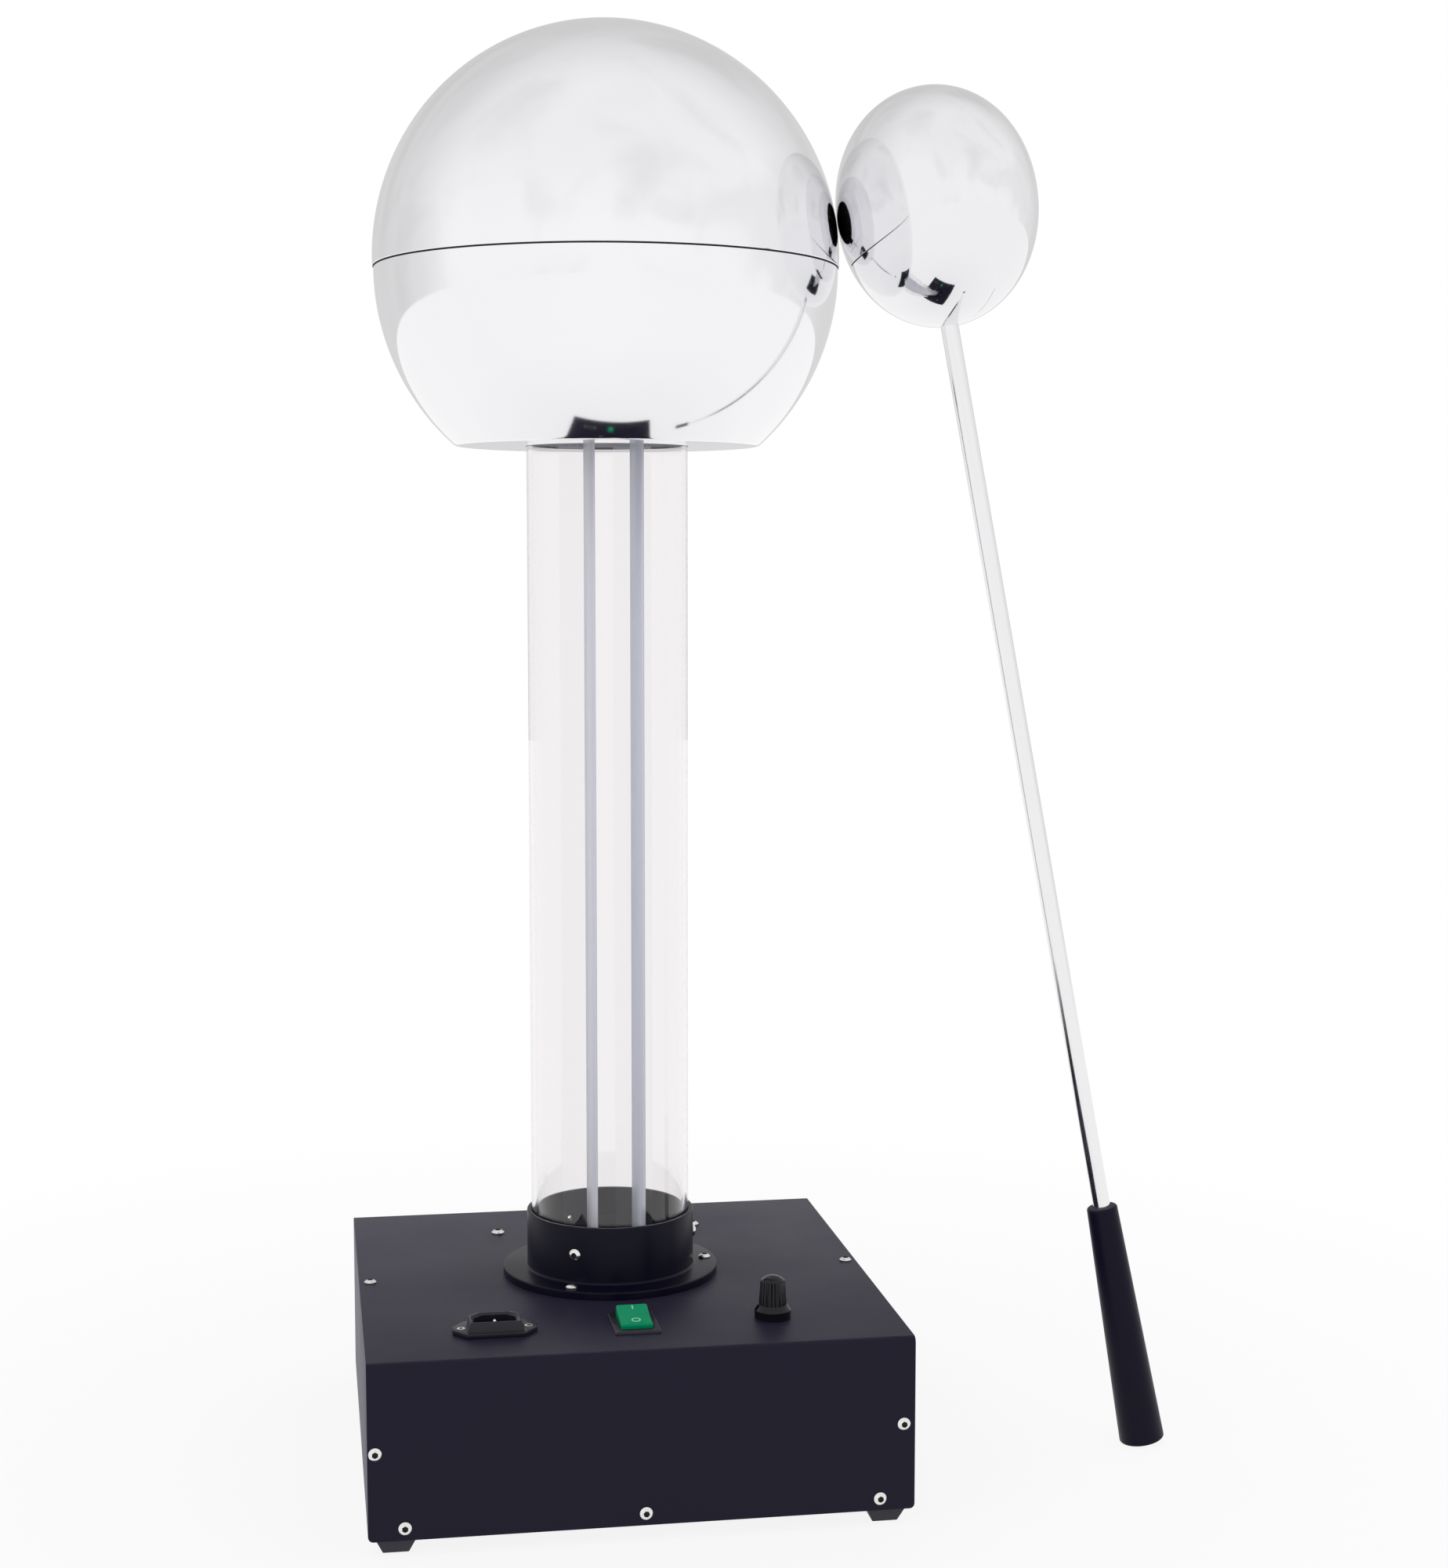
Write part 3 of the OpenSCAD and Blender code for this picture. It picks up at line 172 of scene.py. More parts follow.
class ControlSizes(bpy.types.PropertyGroup):
    moulded_edge: length("Moulded edge", "Rounding of moulded edges", 0.5 * MM)
    inlet_flange: length("Inlet flange", "Thickness of the inlet's flange", 3 * MM)
    inlet_tip: length("Inlet tip", "Width of the blunt ends of the inlet's flange", 7 * MM)
    inlet_foot: length("Inlet foot", "Width of the inlet's raised rim where it starts", 34.4 * MM)
    inlet_foot_deep: length("Inlet foot depth", "Depth of the raised rim where it starts", 23.6 * MM)
    inlet_rim: length("Inlet rim", "Width of the inlet's raised rim at its top", 30 * MM)
    inlet_rim_deep: length("Inlet rim depth", "Depth of the raised rim at its top", 20.5 * MM)
    inlet_mouth: length("Inlet mouth", "Width of the chamfered mouth of the inlet", 28 * MM)
    inlet_mouth_deep: length("Inlet mouth depth", "Depth of the chamfered mouth, front to back", 18.8 * MM)
    inlet_well: length("Inlet well", "Width of the inlet's opening", 25 * MM)
    inlet_well_deep: length("Inlet well depth", "Depth of the opening, front to back", 16.4 * MM)
    inlet_chamfer: length("Inlet chamfer", "Height of the mouth's chamfer", 1.4 * MM)
    inlet_cut: length("Inlet cut", "Size of the opening's two cut corners", 5.4 * MM)
    inlet_depth: length("Inlet depth", "Depth of the inlet's opening", 16 * MM)
    inlet_body: length("Inlet body", "Width of the inlet's body inside the box", 27.4 * MM)
    inlet_body_deep: length("Inlet body depth", "Depth of the body, front to back", 20 * MM)
    pin: length("Pin", "Thickness of a pin", 2 * MM)
    pin_width: length("Pin width", "Width of a pin", 4 * MM)
    pin_step: length("Pin step", "How much further the earth pin reaches", 2.4 * MM)
    pin_edge: length("Pin edge", "Rounding of a pin's tip", 0.9 * MM)
    switch_slope: length("Switch slope", "Width of the frame's sloping border", 1.6 * MM)
    switch_body: length("Switch body", "Width of the switch's body inside the box", 24 * MM)
    switch_body_deep: length("Switch body depth", "Depth of the body, front to back", 34 * MM)
    switch_well: length("Switch well", "Width of the rocker's opening", 20 * MM)
    switch_well_deep: length("Switch well depth", "Depth of the opening, front to back", 30.4 * MM)
    switch_depth: length("Switch depth", "How far the opening goes down below the sheet", 7.2 * MM)
    rocker: length("Rocker", "Length of the rocker", 28 * MM)
    rocker_width: length("Rocker width", "Width of the rocker", 18.8 * MM)
    rocker_face: length("Rocker face", "Height of the rocker's ends above its pivot", 8.5 * MM)
    rocker_dip: length("Rocker dip", "How far the face dips to its middle", 0.6 * MM)
    rocker_border: length("Rocker border", "Bevel round the rocker's face", 0.9 * MM)
    rocker_drop: length("Rocker drop", "Fall of the bevel round the rocker's face", 1.1 * MM)
    mark_stroke: length("Mark stroke", "Width of the marks' line", 0.75 * MM)
    mark_height: length("Mark height", "How far the marks stand proud", 0.12 * MM)
    mark_bar: length("Mark bar", "Length of the straight mark", 4.4 * MM)
    mark_ring: length("Mark ring", "Radius of the round mark", 2.4 * MM)
    mark_bar_at: length("Mark bar place", "Distance of the straight mark from the middle", 9.6 * MM)
    mark_ring_at: length("Mark ring place", "Distance of the round mark from the middle", 7.6 * MM)
    knob_flutes: IntProperty(
        name="Knob flutes", description="Number of flutes round the knob", default=24, min=6)
    knob_flute: length("Knob flute", "Depth of the knob's flutes", 0.6 * MM)
    knob_skirt: length("Knob skirt", "Height of the knob's skirt", 5 * MM)
    knob_cone: length("Knob cone", "Height of the cone above the skirt", 2.8 * MM)
    knob_body: length("Knob body", "Radius of the fluted body above the cone", 8.4 * MM)
    knob_tip: length("Knob tip", "Radius of the fluted body at its end", 7.4 * MM)
    knob_crown: length("Knob crown", "Height of the knob's domed end", 3.3 * MM)
    knob_edge: length("Knob edge", "Chamfer of the knob's rims", 0.3 * MM)


class WandSizes(bpy.types.PropertyGroup):
    ball: length("Ball", "Diameter of the ball across its seam", 144 * MM)
    ball_axis: length("Ball axis", "Thickness of the ball along its axis", 108 * MM)
    shoulder: length("Shoulder", "Radius of the ball's shoulder beside the seam", 46 * MM)
    ball_wall: length("Ball wall", "Wall of the ball", 1.2 * MM)
    ball_turn: turn("Ball turn", "Turn of the ball about the rod", 20.5)
    seam_edge: length("Seam edge", "Rounding of the rims at the ball's seam", 0.1 * MM)
    handle: length("Handle", "Length of the handle", 157 * MM)
    handle_low: length("Handle low end", "Diameter of the handle at its thick end", 28.5 * MM)
    handle_top: length("Handle top end", "Diameter of the handle where the rod leaves it", 19.5 * MM)
    handle_edge: length("Handle edge", "Rounding of the handle's ends", 1.5 * MM)
    handle_gap: length("Handle gap", "Gap round the rod where it enters the handle", 0.1 * MM)
    handle_bore: length("Handle bore", "Depth of the handle's bore that shows", 12 * MM)
    rod_edge: length("Rod edge", "Chamfer of the rod's upper end", 0.4 * MM)


class FinishColours(bpy.types.PropertyGroup):
    coat: colour("Coat", "Powder coat of the box", (0.0095, 0.0078, 0.0220))
    collar: colour("Collar", "Turned collar", (0.0036, 0.0032, 0.0135))
    handle: colour("Handle", "Handle of the wand", (0.0060, 0.0048, 0.0170))
    moulding: colour("Moulding", "Black mouldings of the controls", (0.0120, 0.0110, 0.0200))
    rocker: colour("Rocker", "Green rocker", (0.0015, 0.3200, 0.1400))
    mark: colour("Mark", "Marks on the rocker", (0.3600, 0.8200, 0.5900))
    polished: colour("Polished metal", "Dome and ball", (0.9200, 0.9200, 0.9350))
    plated: colour("Plated metal", "Screws", (0.8200, 0.8150, 0.8100))
    belt: colour("Belt", "Belt", (0.8600, 0.9100, 1.0000))
    acrylic: colour("Acrylic", "Clear tube", (0.9450, 0.9300, 0.9380))


class StageSettings(bpy.types.PropertyGroup):
    camera: FloatVectorProperty(
        name="Camera", description="Place of the camera", default=(-0.18958, -1.53944, 0.57245),
        size=3, subtype="TRANSLATION")
    heading: turn("Heading", "Turn of the camera towards the right", 9.324)
    pitch: turn("Pitch", "Tilt of the camera downwards", 5.577)
    lens: FloatProperty(name="Lens", description="Focal length", default=56.74, unit="CAMERA")
    shift: FloatVectorProperty(
        name="Shift", description="Shift of the view to the right and up", default=(0.0106, 0.0057), size=2)
    daylight: factor("Daylight", "Strength of the even light from all sides", 0.62)
    backdrop: factor("Backdrop", "Grey of the studio behind the object in reflections", 0.72)
    ceiling: factor("Ceiling", "Grey of the studio above the object in reflections", 0.94)
    clouds: factor("Clouds", "Grey of the soft clouds in the studio's reflections", 0.9)
    cloud_scale: factor("Cloud scale", "Number of clouds", 1.6)
    floor: colour("Floor", "Plain floor", (0.86, 0.86, 0.86))
    floor_radius: length("Floor radius", "Radius of the floor", 6)
    key: FloatProperty(name="Key lamp", description="Power of the large lamp", default=9, unit="POWER")
    key_size: FloatVectorProperty(
        name="Key lamp size", description="Width and height of the lamp", default=(1.6, 1.2), size=2)
    key_place: FloatVectorProperty(
        name="Key lamp place", description="Place of the lamp", default=(-1.1, -1.3, 2.1),
        size=3, subtype="TRANSLATION")
    key_aim: FloatVectorProperty(
        name="Key lamp aim", description="Point that the lamp faces", default=(0, 0, 0.35),
        size=3, subtype="TRANSLATION")


# ---------- modelling ----------

def arc(centre, radius, start, end, steps):
    """Points (radius, height) of an arc in a section, its angles in degrees from outward."""
    angles = [radians(start + (end - start) * step / steps) for step in range(steps + 1)]
    return [(centre[0] + radius * cos(angle), centre[1] + radius * sin(angle)) for angle in angles]


def spun(section, facets, closed=True):
    """Turns a section of (radius, height) points about Z. An open section has both its ends on the axis."""
    bm = bmesh.new()
    corners = [bm.verts.new((across, 0, height)) for across, height in section]
    edges = [bm.edges.new(pair) for pair in zip(corners, corners[1:])]
    if closed:
        edges.append(bm.edges.new((corners[-1], corners[0])))
    bmesh.ops.spin(
        bm, geom=corners + edges, cent=(0, 0, 0), axis=UP, angle=2 * pi, steps=facets, use_merge=True)
    bmesh.ops.remove_doubles(bm, verts=bm.verts, dist=TINY)
    bmesh.ops.recalc_face_normals(bm, faces=bm.faces)
    return bm


def prism(outline, bottom, top):
    """Straight block over an outline of (x, y) points."""
    bm = bmesh.new()
    face = bm.faces.new([bm.verts.new((x, y, bottom)) for x, y in outline])
    grown = bmesh.ops.extrude_face_region(bm, geom=[face])
    raised = [each for each in grown["geom"] if isinstance(each, bmesh.types.BMVert)]
    bmesh.ops.translate(bm, verts=raised, vec=(0, 0, top - bottom))
    bmesh.ops.recalc_face_normals(bm, faces=bm.faces)
    return bm


def tapered(low_outline, high_outline, bottom, top):
    """Block whose outline runs from one to another with as many corners."""
    bm = bmesh.new()
    loops = [[bm.verts.new((x, y, z)) for x, y in outline]
             for outline, z in ((low_outline, bottom), (high_outline, top))]
    for loop in loops:
        bm.faces.new(loop)
    rims = [bm.edges.get(pair) for loop in loops for pair in zip(loop, loop[1:] + loop[:1])]
    bmesh.ops.bridge_loops(bm, edges=rims)
    bmesh.ops.recalc_face_normals(bm, faces=bm.faces)
    return bm


def block(lowest, highest):
    bm = bmesh.new()
    size = highest - lowest
    place = Matrix.Translation((lowest + highest) / 2) @ Matrix.Diagonal((*size, 1))
    bmesh.ops.create_cube(bm, size=1, matrix=place)
    return bm


def rod_cutter(radius, bottom, top, x=0.0, segments=48):
    """Round bar along Z, for holes."""
    bm = bmesh.new()
    bmesh.ops.create_cone(
        bm, cap_ends=True, segments=segments, radius1=radius, radius2=radius, depth=top - bottom,
        matrix=Matrix.Translation((x, 0, (bottom + top) / 2)))
    return bm


def rectangle(width, depth):
    x, y = width / 2, depth / 2
    return [(-x, -y), (x, -y), (x, y), (-x, y)]


def round_edges(bm, radius, chosen, segments=3):
    """Rounds the edges for which chosen(edge) is true."""
    edges = [edge for edge in bm.edges if chosen(edge)]
    bmesh.ops.bevel(
        bm, geom=edges, offset=radius, segments=segments, profile=0.5, affect="EDGES", material=-1,
        clamp_overlap=True)


def is_corner(edge):
    return len(edge.link_faces) == 2 and edge.calc_face_angle() > radians(20)


def copies(source, places):
    """One bmesh with a copy of the source at each place. The source is used up."""
    shapes = []
    for place in places:
        shapes.append(source.copy())
        shapes[-1].transform(place)
    source.free()
    return joined(shapes)


def cut(bm, *cutters):
    """Takes the cutters away from the shape, one after the other."""
    for cutter in cutters:
        body, tool = scratch_object(bm), scratch_object(cutter)
        modifier = body.modifiers.new("Cut", "BOOLEAN")
        modifier.object = tool
        modifier.operation = "DIFFERENCE"
        modifier.solver = "EXACT"
        bm = bmesh.new()
        bm.from_mesh(body.evaluated_get(bpy.context.evaluated_depsgraph_get()).to_mesh())
        for mesh in [thing.data for thing in (body, tool)]:
            bpy.data.meshes.remove(mesh)
    return bm


def scratch_object(bm):
    """A short-lived object with the shape. Removing its mesh removes the object too."""
    mesh = bpy.data.meshes.new("scratch")
    bm.to_mesh(mesh)
    bm.free()
    thing = bpy.data.objects.new("scratch", mesh)
    bpy.context.scene.collection.objects.link(thing)
    return thing


def joined(shapes):
    """One bmesh of several."""
    result = bmesh.new()
    scratch = bpy.data.meshes.new("scratch")
    for shape in shapes:
        shape.to_mesh(scratch)
        result.from_mesh(scratch)
        shape.free()
    bpy.data.meshes.remove(scratch)
    return result


def add_piece(name, bm, finish, body, slot, *nodes, place=None, crease=35):
    """Makes the finished piece from its shape. The body carries it, and it stands for the nodes."""
    if place is not None:
        bm.transform(place)
    mesh = bpy.data.meshes.new(name)
    bm.to_mesh(mesh)
    bm.free()
    mesh.polygons.foreach_set("use_smooth", [True] * len(mesh.polygons))
    mesh.set_sharp_from_angle(angle=radians(crease))
    for each in finish if isinstance(finish, tuple) else (finish,):
        mesh.materials.append(bpy.data.materials[each])
    piece = bpy.data.objects.new(name, mesh)
    bpy.context.scene.collection.objects.link(piece)
    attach(piece, body)
    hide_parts(*nodes)
    return piece


def soften(piece, radius, segments=2):
    """Rounds every sharp edge of a finished piece."""
    bevel = piece.modifiers.new("Soft edges", "BEVEL")
    bevel.width = radius
    bevel.segments = segments
    bevel.limit_method = "ANGLE"
    bevel.angle_limit = radians(35)
    bevel.harden_normals = True
    return piece


# ---------- node groups shared by the materials ----------

def add_node(tree, kind, **inputs):
    node = tree.nodes.new(kind)
    for name, value in inputs.items():
        node.inputs[name.replace("_", " ")].default_value = value
    return node


def maths(tree, operation, first, second):
    node = tree.nodes.new("ShaderNodeMath")
    node.operation = operation
    for socket, value in zip(node.inputs, (first, second)):
        if isinstance(value, bpy.types.NodeSocket):
            tree.links.new(value, socket)
        else:
            socket.default_value = value
    return node.outputs[0]


def new_group(name, inputs, outputs):
    """A shader node group with named sockets. Returns its tree and its input and output nodes."""
    tree = bpy.data.node_groups.new(name, "ShaderNodeTree")
    for label, kind, value in inputs:
        socket = tree.interface.new_socket(label, in_out="INPUT", socket_type=kind)
        if value is not None:
            socket.default_value = value
    for label, kind in outputs:
        tree.interface.new_socket(label, in_out="OUTPUT", socket_type=kind)
    return tree, tree.nodes.new("NodeGroupInput"), tree.nodes.new("NodeGroupOutput")


def build_grain_group():
    """Fine orange peel of a coat or a moulding, and slow changes over the surface."""
    tree, given, out = new_group(
        "grain",
        [("Vector", "NodeSocketVector", None), ("Scale", "NodeSocketFloat", 1200.0),
         ("Patch Scale", "NodeSocketFloat", 18.0)],
        [("Height", "NodeSocketFloat"), ("Patches", "NodeSocketFloat")])
    fine = add_node(tree, "ShaderNodeTexNoise", Detail=3.0, Roughness=0.6)
    slow = add_node(tree, "ShaderNodeTexNoise", Detail=4.0, Roughness=0.55)
    for noise, scale in ((fine, "Scale"), (slow, "Patch Scale")):
        tree.links.new(given.outputs["Vector"], noise.inputs["Vector"])
        tree.links.new(given.outputs[scale], noise.inputs["Scale"])
    tree.links.new(fine.outputs["Fac"], out.inputs["Height"])
    tree.links.new(slow.outputs["Fac"], out.inputs["Patches"])


def build_rings_group():
    """Fine rings round the Z axis, as turning or spinning leaves them, and hazy patches of wiping."""
    tree, given, out = new_group(
        "rings",
        [("Vector", "NodeSocketVector", None), ("Per Metre", "NodeSocketFloat", 900.0),
         ("Haze Scale", "NodeSocketFloat", 9.0)],
        [("Height", "NodeSocketFloat"), ("Haze", "NodeSocketFloat")])
    parts = tree.nodes.new("ShaderNodeSeparateXYZ")
    tree.links.new(given.outputs["Vector"], parts.inputs["Vector"])
    squares = maths(tree, "ADD", maths(tree, "POWER", parts.outputs["X"], 2.0),
                    maths(tree, "POWER", parts.outputs["Y"], 2.0))
    across = maths(tree, "SQRT", squares, 0.0)
    along = maths(tree, "SUBTRACT", parts.outputs["Z"], across)
    noise = add_node(tree, "ShaderNodeTexNoise", Detail=2.0, Roughness=0.7)
    noise.noise_dimensions = "1D"
    tree.links.new(along, noise.inputs["W"])
    tree.links.new(given.outputs["Per Metre"], noise.inputs["Scale"])
    haze = add_node(tree, "ShaderNodeTexNoise", Detail=5.0, Roughness=0.5, Distortion=0.4)
    tree.links.new(given.outputs["Vector"], haze.inputs["Vector"])
    tree.links.new(given.outputs["Haze Scale"], haze.inputs["Scale"])
    tree.links.new(noise.outputs["Fac"], out.inputs["Height"])
    tree.links.new(haze.outputs["Fac"], out.inputs["Haze"])


def build_edge_highlight_group():
    """White where the surface turns a corner, for a painted highlight along the edges."""
    tree, given, out = new_group(
        "edges", [("Gain", "NodeSocketFloat", 6.0)], [("Mask", "NodeSocketFloat")])
    bevel = add_node(tree, "ShaderNodeBevel", Radius=0.7 * MM)
    bevel.samples = 4
    geometry = tree.nodes.new("ShaderNodeNewGeometry")
    dot = tree.nodes.new("ShaderNodeVectorMath")
    dot.operation = "DOT_PRODUCT"
    tree.links.new(bevel.outputs["Normal"], dot.inputs[0])
    tree.links.new(geometry.outputs["Normal"], dot.inputs[1])
    away = maths(tree, "SUBTRACT", 1.0, dot.outputs["Value"])
    strong = maths(tree, "MULTIPLY", away, given.outputs["Gain"])
    tree.links.new(maths(tree, "MINIMUM", strong, 1.0), out.inputs["Mask"])


# ---------- materials ----------

class Finish:
    """One material under construction: a Principled BSDF with Object coordinates."""

    def __init__(self, name, base, roughness, metallic=0.0, place=None, **sockets):
        self.material = bpy.data.materials.new(name)
        self.material.use_nodes = True
        self.material.diffuse_color = (*base, 1)
        self.tree = self.material.node_tree
        self.shader = self.tree.nodes["Principled BSDF"]
        self.base = base
        self.set("Base Color", (*base, 1))
        self.set("Roughness", roughness)
        self.set("Metallic", metallic)
        for label, value in sockets.items():
            self.set(label.replace("_", " "), value)
        self.vector = self.tree.nodes.new("ShaderNodeTexCoord").outputs["Object"]
        if place is not None:
            self.vector = self.moved(place)

    def set(self, label, value):
        self.shader.inputs[label].default_value = value

    def moved(self, place):
        """Object coordinates seen from a place, so that a pattern's axis is that place's Z."""
        mapping = self.tree.nodes.new("ShaderNodeMapping")
        mapping.vector_type = "TEXTURE"
        mapping.inputs["Location"].default_value = place.to_translation()
        mapping.inputs["Rotation"].default_value = place.to_euler("XYZ")
        self.tree.links.new(self.vector, mapping.inputs["Vector"])
        return mapping.outputs["Vector"]

    def group(self, name, **values):
        node = self.tree.nodes.new("ShaderNodeGroup")
        node.node_tree = bpy.data.node_groups[name]
        for label, value in values.items():
            node.inputs[label.replace("_", " ")].default_value = value
        if "Vector" in node.inputs:
            self.tree.links.new(self.vector, node.inputs["Vector"])
        return node.outputs

    def vary(self, label, mask, lowest, highest):
        """Lets a socket run between two values with a mask."""
        ramp = self.tree.nodes.new("ShaderNodeMapRange")
        ramp.inputs["To Min"].default_value = lowest
        ramp.inputs["To Max"].default_value = highest
        ramp.inputs["From Min"].default_value = 0.3
        ramp.inputs["From Max"].default_value = 0.7
        self.tree.links.new(mask, ramp.inputs["Value"])
        self.tree.links.new(ramp.outputs["Result"], self.shader.inputs[label])

    def tint(self, mask, other):
        """Mixes another colour over the base colour, where the mask is white."""
        mix = self.tree.nodes.new("ShaderNodeMix")
        mix.data_type = "RGBA"
        mix.inputs["A"].default_value = (*self.base, 1)
        mix.inputs["B"].default_value = (*other, 1)
        self.tree.links.new(mask, mix.inputs["Factor"])
        self.tree.links.new(mix.outputs["Result"], self.shader.inputs["Base Color"])

    def bump(self, height, depth, strength=1.0):
        bump = add_node(self.tree, "ShaderNodeBump", Strength=strength, Distance=depth)
        self.tree.links.new(height, bump.inputs["Height"])
        self.tree.links.new(bump.outputs["Normal"], self.shader.inputs["Normal"])


def shade(colour, by):
    return tuple(min(1, part * by) for part in colour)


def build_coat(name, base, roughness=0.42):
    """Satin black powder coat on sheet metal."""
    finish = Finish(name, base, roughness, Specular_IOR_Level=0.16, Sheen_Weight=0.1, Sheen_Roughness=0.4,
                    Sheen_Tint=(0.72, 0.62, 1.0, 1))
    grain = finish.group("grain", Scale=1500.0, Patch_Scale=11.0)
    finish.vary("Roughness", grain["Patches"], roughness - 0.03, roughness + 0.04)
    # Painted highlight: the coat's edges and bends lighter than the coat.
    finish.tint(finish.group("edges", Gain=3.0)["Mask"], shade(base, 2.2))
    finish.bump(grain["Height"], 0.02 * MM, 0.5)


def build_turned(name, base, roughness, per_metre=2600.0):
    """Black turned part with fine rings."""
    finish = Finish(name, base, roughness, Specular_IOR_Level=0.14)
    rings = finish.group("rings", Per_Metre=per_metre, Haze_Scale=14.0)
    finish.vary("Roughness", rings["Haze"], roughness - 0.04, roughness + 0.05)
    # Painted highlight: the rims of turned parts lighter than the part.
    finish.tint(finish.group("edges", Gain=2.5)["Mask"], shade(base, 3))
    finish.bump(rings["Height"], 0.012 * MM, 0.6)


def build_moulded(name, base, roughness, scale=1700.0, **sockets):
    """Moulded plastic or rubber with a fine texture."""
    finish = Finish(name, base, roughness, **sockets)
    grain = finish.group("grain", Scale=scale, Patch_Scale=25.0)
    finish.vary("Roughness", grain["Patches"], roughness - 0.04, roughness + 0.05)
    finish.bump(grain["Height"], 0.015 * MM, 0.5)
    return finish


def build_polished(name, base, roughness, clouds, place=None):
    """Spun and polished metal: faint rings and cloudy patches of wiping haze."""
    finish = Finish(name, base, roughness, metallic=1.0, place=place)
    rings = finish.group("rings", Per_Metre=700.0, Haze_Scale=7.0)
    finish.vary("Roughness", rings["Haze"], roughness * 0.7, roughness * 1.5)
    finish.tint(maths(finish.tree, "MULTIPLY", rings["Haze"], clouds), (0.6, 0.6, 0.62))
    finish.bump(rings["Height"], 0.0015 * MM, 0.5)


def build_metal(name, base, roughness, per_metre=1500.0, place=None):
    """Drawn, turned or sheet metal with fine lines."""
    finish = Finish(name, base, roughness, metallic=1.0, place=place)
    rings = finish.group("rings", Per_Metre=per_metre, Haze_Scale=40.0)
    finish.vary("Roughness", rings["Haze"], roughness * 0.75, roughness * 1.35)
    # Painted highlight: edges a little lighter than the metal.
    finish.tint(finish.group("edges", Gain=2.0)["Mask"], shade(base, 1.12))
    finish.bump(rings["Height"], 0.004 * MM, 0.5)


def build_acrylic(name, base):
    """Clear acrylic with a trace of haze, which lets light through to what stands inside it."""
    finish = Finish(name, base, 0.0, Transmission_Weight=1.0, IOR=1.49)
    tree = finish.tree
    haze = finish.group("rings", Per_Metre=40.0, Haze_Scale=5.0)
    finish.vary("Roughness", haze["Haze"], 0.0, 0.004)
    path = tree.nodes.new("ShaderNodeLightPath").outputs
    clear = add_node(tree, "ShaderNodeBsdfTransparent", Color=(*shade(base, 1.05), 1))
    mix = tree.nodes.new("ShaderNodeMixShader")
    tree.links.new(maths(tree, "MAXIMUM", path["Is Shadow Ray"], path["Is Diffuse Ray"]), mix.inputs["Fac"])
    tree.links.new(finish.shader.outputs["BSDF"], mix.inputs[1])
    tree.links.new(clear.outputs["BSDF"], mix.inputs[2])
    tree.links.new(mix.outputs["Shader"], tree.nodes["Material Output"].inputs["Surface"])


def build_board(name, base):
    """Lacquered circuit board with pale tracks."""
    finish = Finish(name, base, 0.3)
    tracks = finish.tree.nodes.new("ShaderNodeTexBrick")
    tracks.inputs["Scale"].default_value = 60.0
    tracks.inputs["Mortar Size"].default_value = 0.03
    finish.tree.links.new(finish.vector, tracks.inputs["Vector"])
    finish.tint(tracks.outputs["Fac"], shade(base, 2.4))


def ball_place(side):
    """Where a half of the ball stands: its own Z runs along the ball's axis, to the far or the near side."""
    sizes = bpy.context.scene.wand_sizes
    return (Matrix.Translation(BALL_MIDDLE) @ Matrix.Rotation(-LEAN, 4, "Y")
            @ Matrix.Rotation(sizes.ball_turn, 4, "Z") @ Matrix.Rotation(side * pi / 2, 4, "Y"))


def wand_place():
    return Matrix.Translation(rod_end(False)) @ Matrix.Rotation(-LEAN, 4, "Y")


class GENERATOR_OT_materials(bpy.types.Operator):
    """Makes every finish of the generator"""
    bl_idname = "generator.materials"
    bl_label = "Materials"

    def execute(self, context):
        colours = context.scene.finish_colours
        build_grain_group()
        build_rings_group()
        build_edge_highlight_group()
        build_coat("box coat", tuple(colours.coat))
        build_turned("collar black", tuple(colours.collar), 0.3)
        build_moulded("handle black", tuple(colours.handle), 0.4, 900.0, Specular_IOR_Level=0.12)
        build_moulded("moulded black", tuple(colours.moulding), 0.34, Specular_IOR_Level=0.35)
        build_moulded("foot rubber", shade(colours.moulding, 1.25), 0.62, 1200.0)
        knob = build_moulded("knob black", shade(colours.moulding, 0.3), 0.14, Specular_IOR_Level=0.3)
        # Painted highlight on the crests of the knob's flutes and on its rims.
        knob.tint(knob.group("edges", Gain=3.0)["Mask"], (0.045, 0.042, 0.065))
        build_moulded("rocker green", tuple(colours.rocker), 0.3, Specular_IOR_Level=0.05)
        build_moulded("rocker mark", tuple(colours.mark), 0.4)
        build_moulded("belt rubber", tuple(colours.belt), 0.5, 600.0)
        build_moulded("acetal", (0.72, 0.72, 0.69), 0.38)
        build_moulded("part blue", (0.05, 0.08, 0.22), 0.35)
        build_polished("polished dome", tuple(colours.polished), 0.06, 0.14)
        build_polished("polished ball", shade(colours.polished, 0.96), 0.045, 0.14, ball_place(1))
        build_metal("plated screw", tuple(colours.plated), 0.17)
        build_turned("socket shadow", (0.035, 0.03, 0.03), 0.4)
        build_turned("seam shadow", (0.02, 0.02, 0.025), 0.6)
        build_metal("polished rod", (0.86, 0.86, 0.87), 0.14, 2200.0, wand_place())
        build_metal("bare sheet", (0.52, 0.53, 0.55), 0.38)
        build_metal("turned aluminium", (0.7, 0.71, 0.73), 0.3)
        build_metal("brass sheet", (0.72, 0.5, 0.2), 0.3)
        build_metal("bronze bush", (0.55, 0.33, 0.14), 0.4)
        build_acrylic("clear acrylic", tuple(colours.acrylic))
        build_board("circuit board", (0.02, 0.16, 0.07))
        return {"FINISHED"}


# ---------- dome ----------

def bowl(radius, flat, edge, steps):
    """Section of a sphere from its widest level down to a flat bottom with a rounded edge."""
    edge_z = flat + edge
    edge_x = sqrt((radius - edge) ** 2 - edge_z ** 2)
    meet = degrees(atan2(edge_z, edge_x))
    return arc((0, 0), radius, 0, meet, steps) + arc((edge_x, edge_z), edge, meet, -90, 8)[1:]


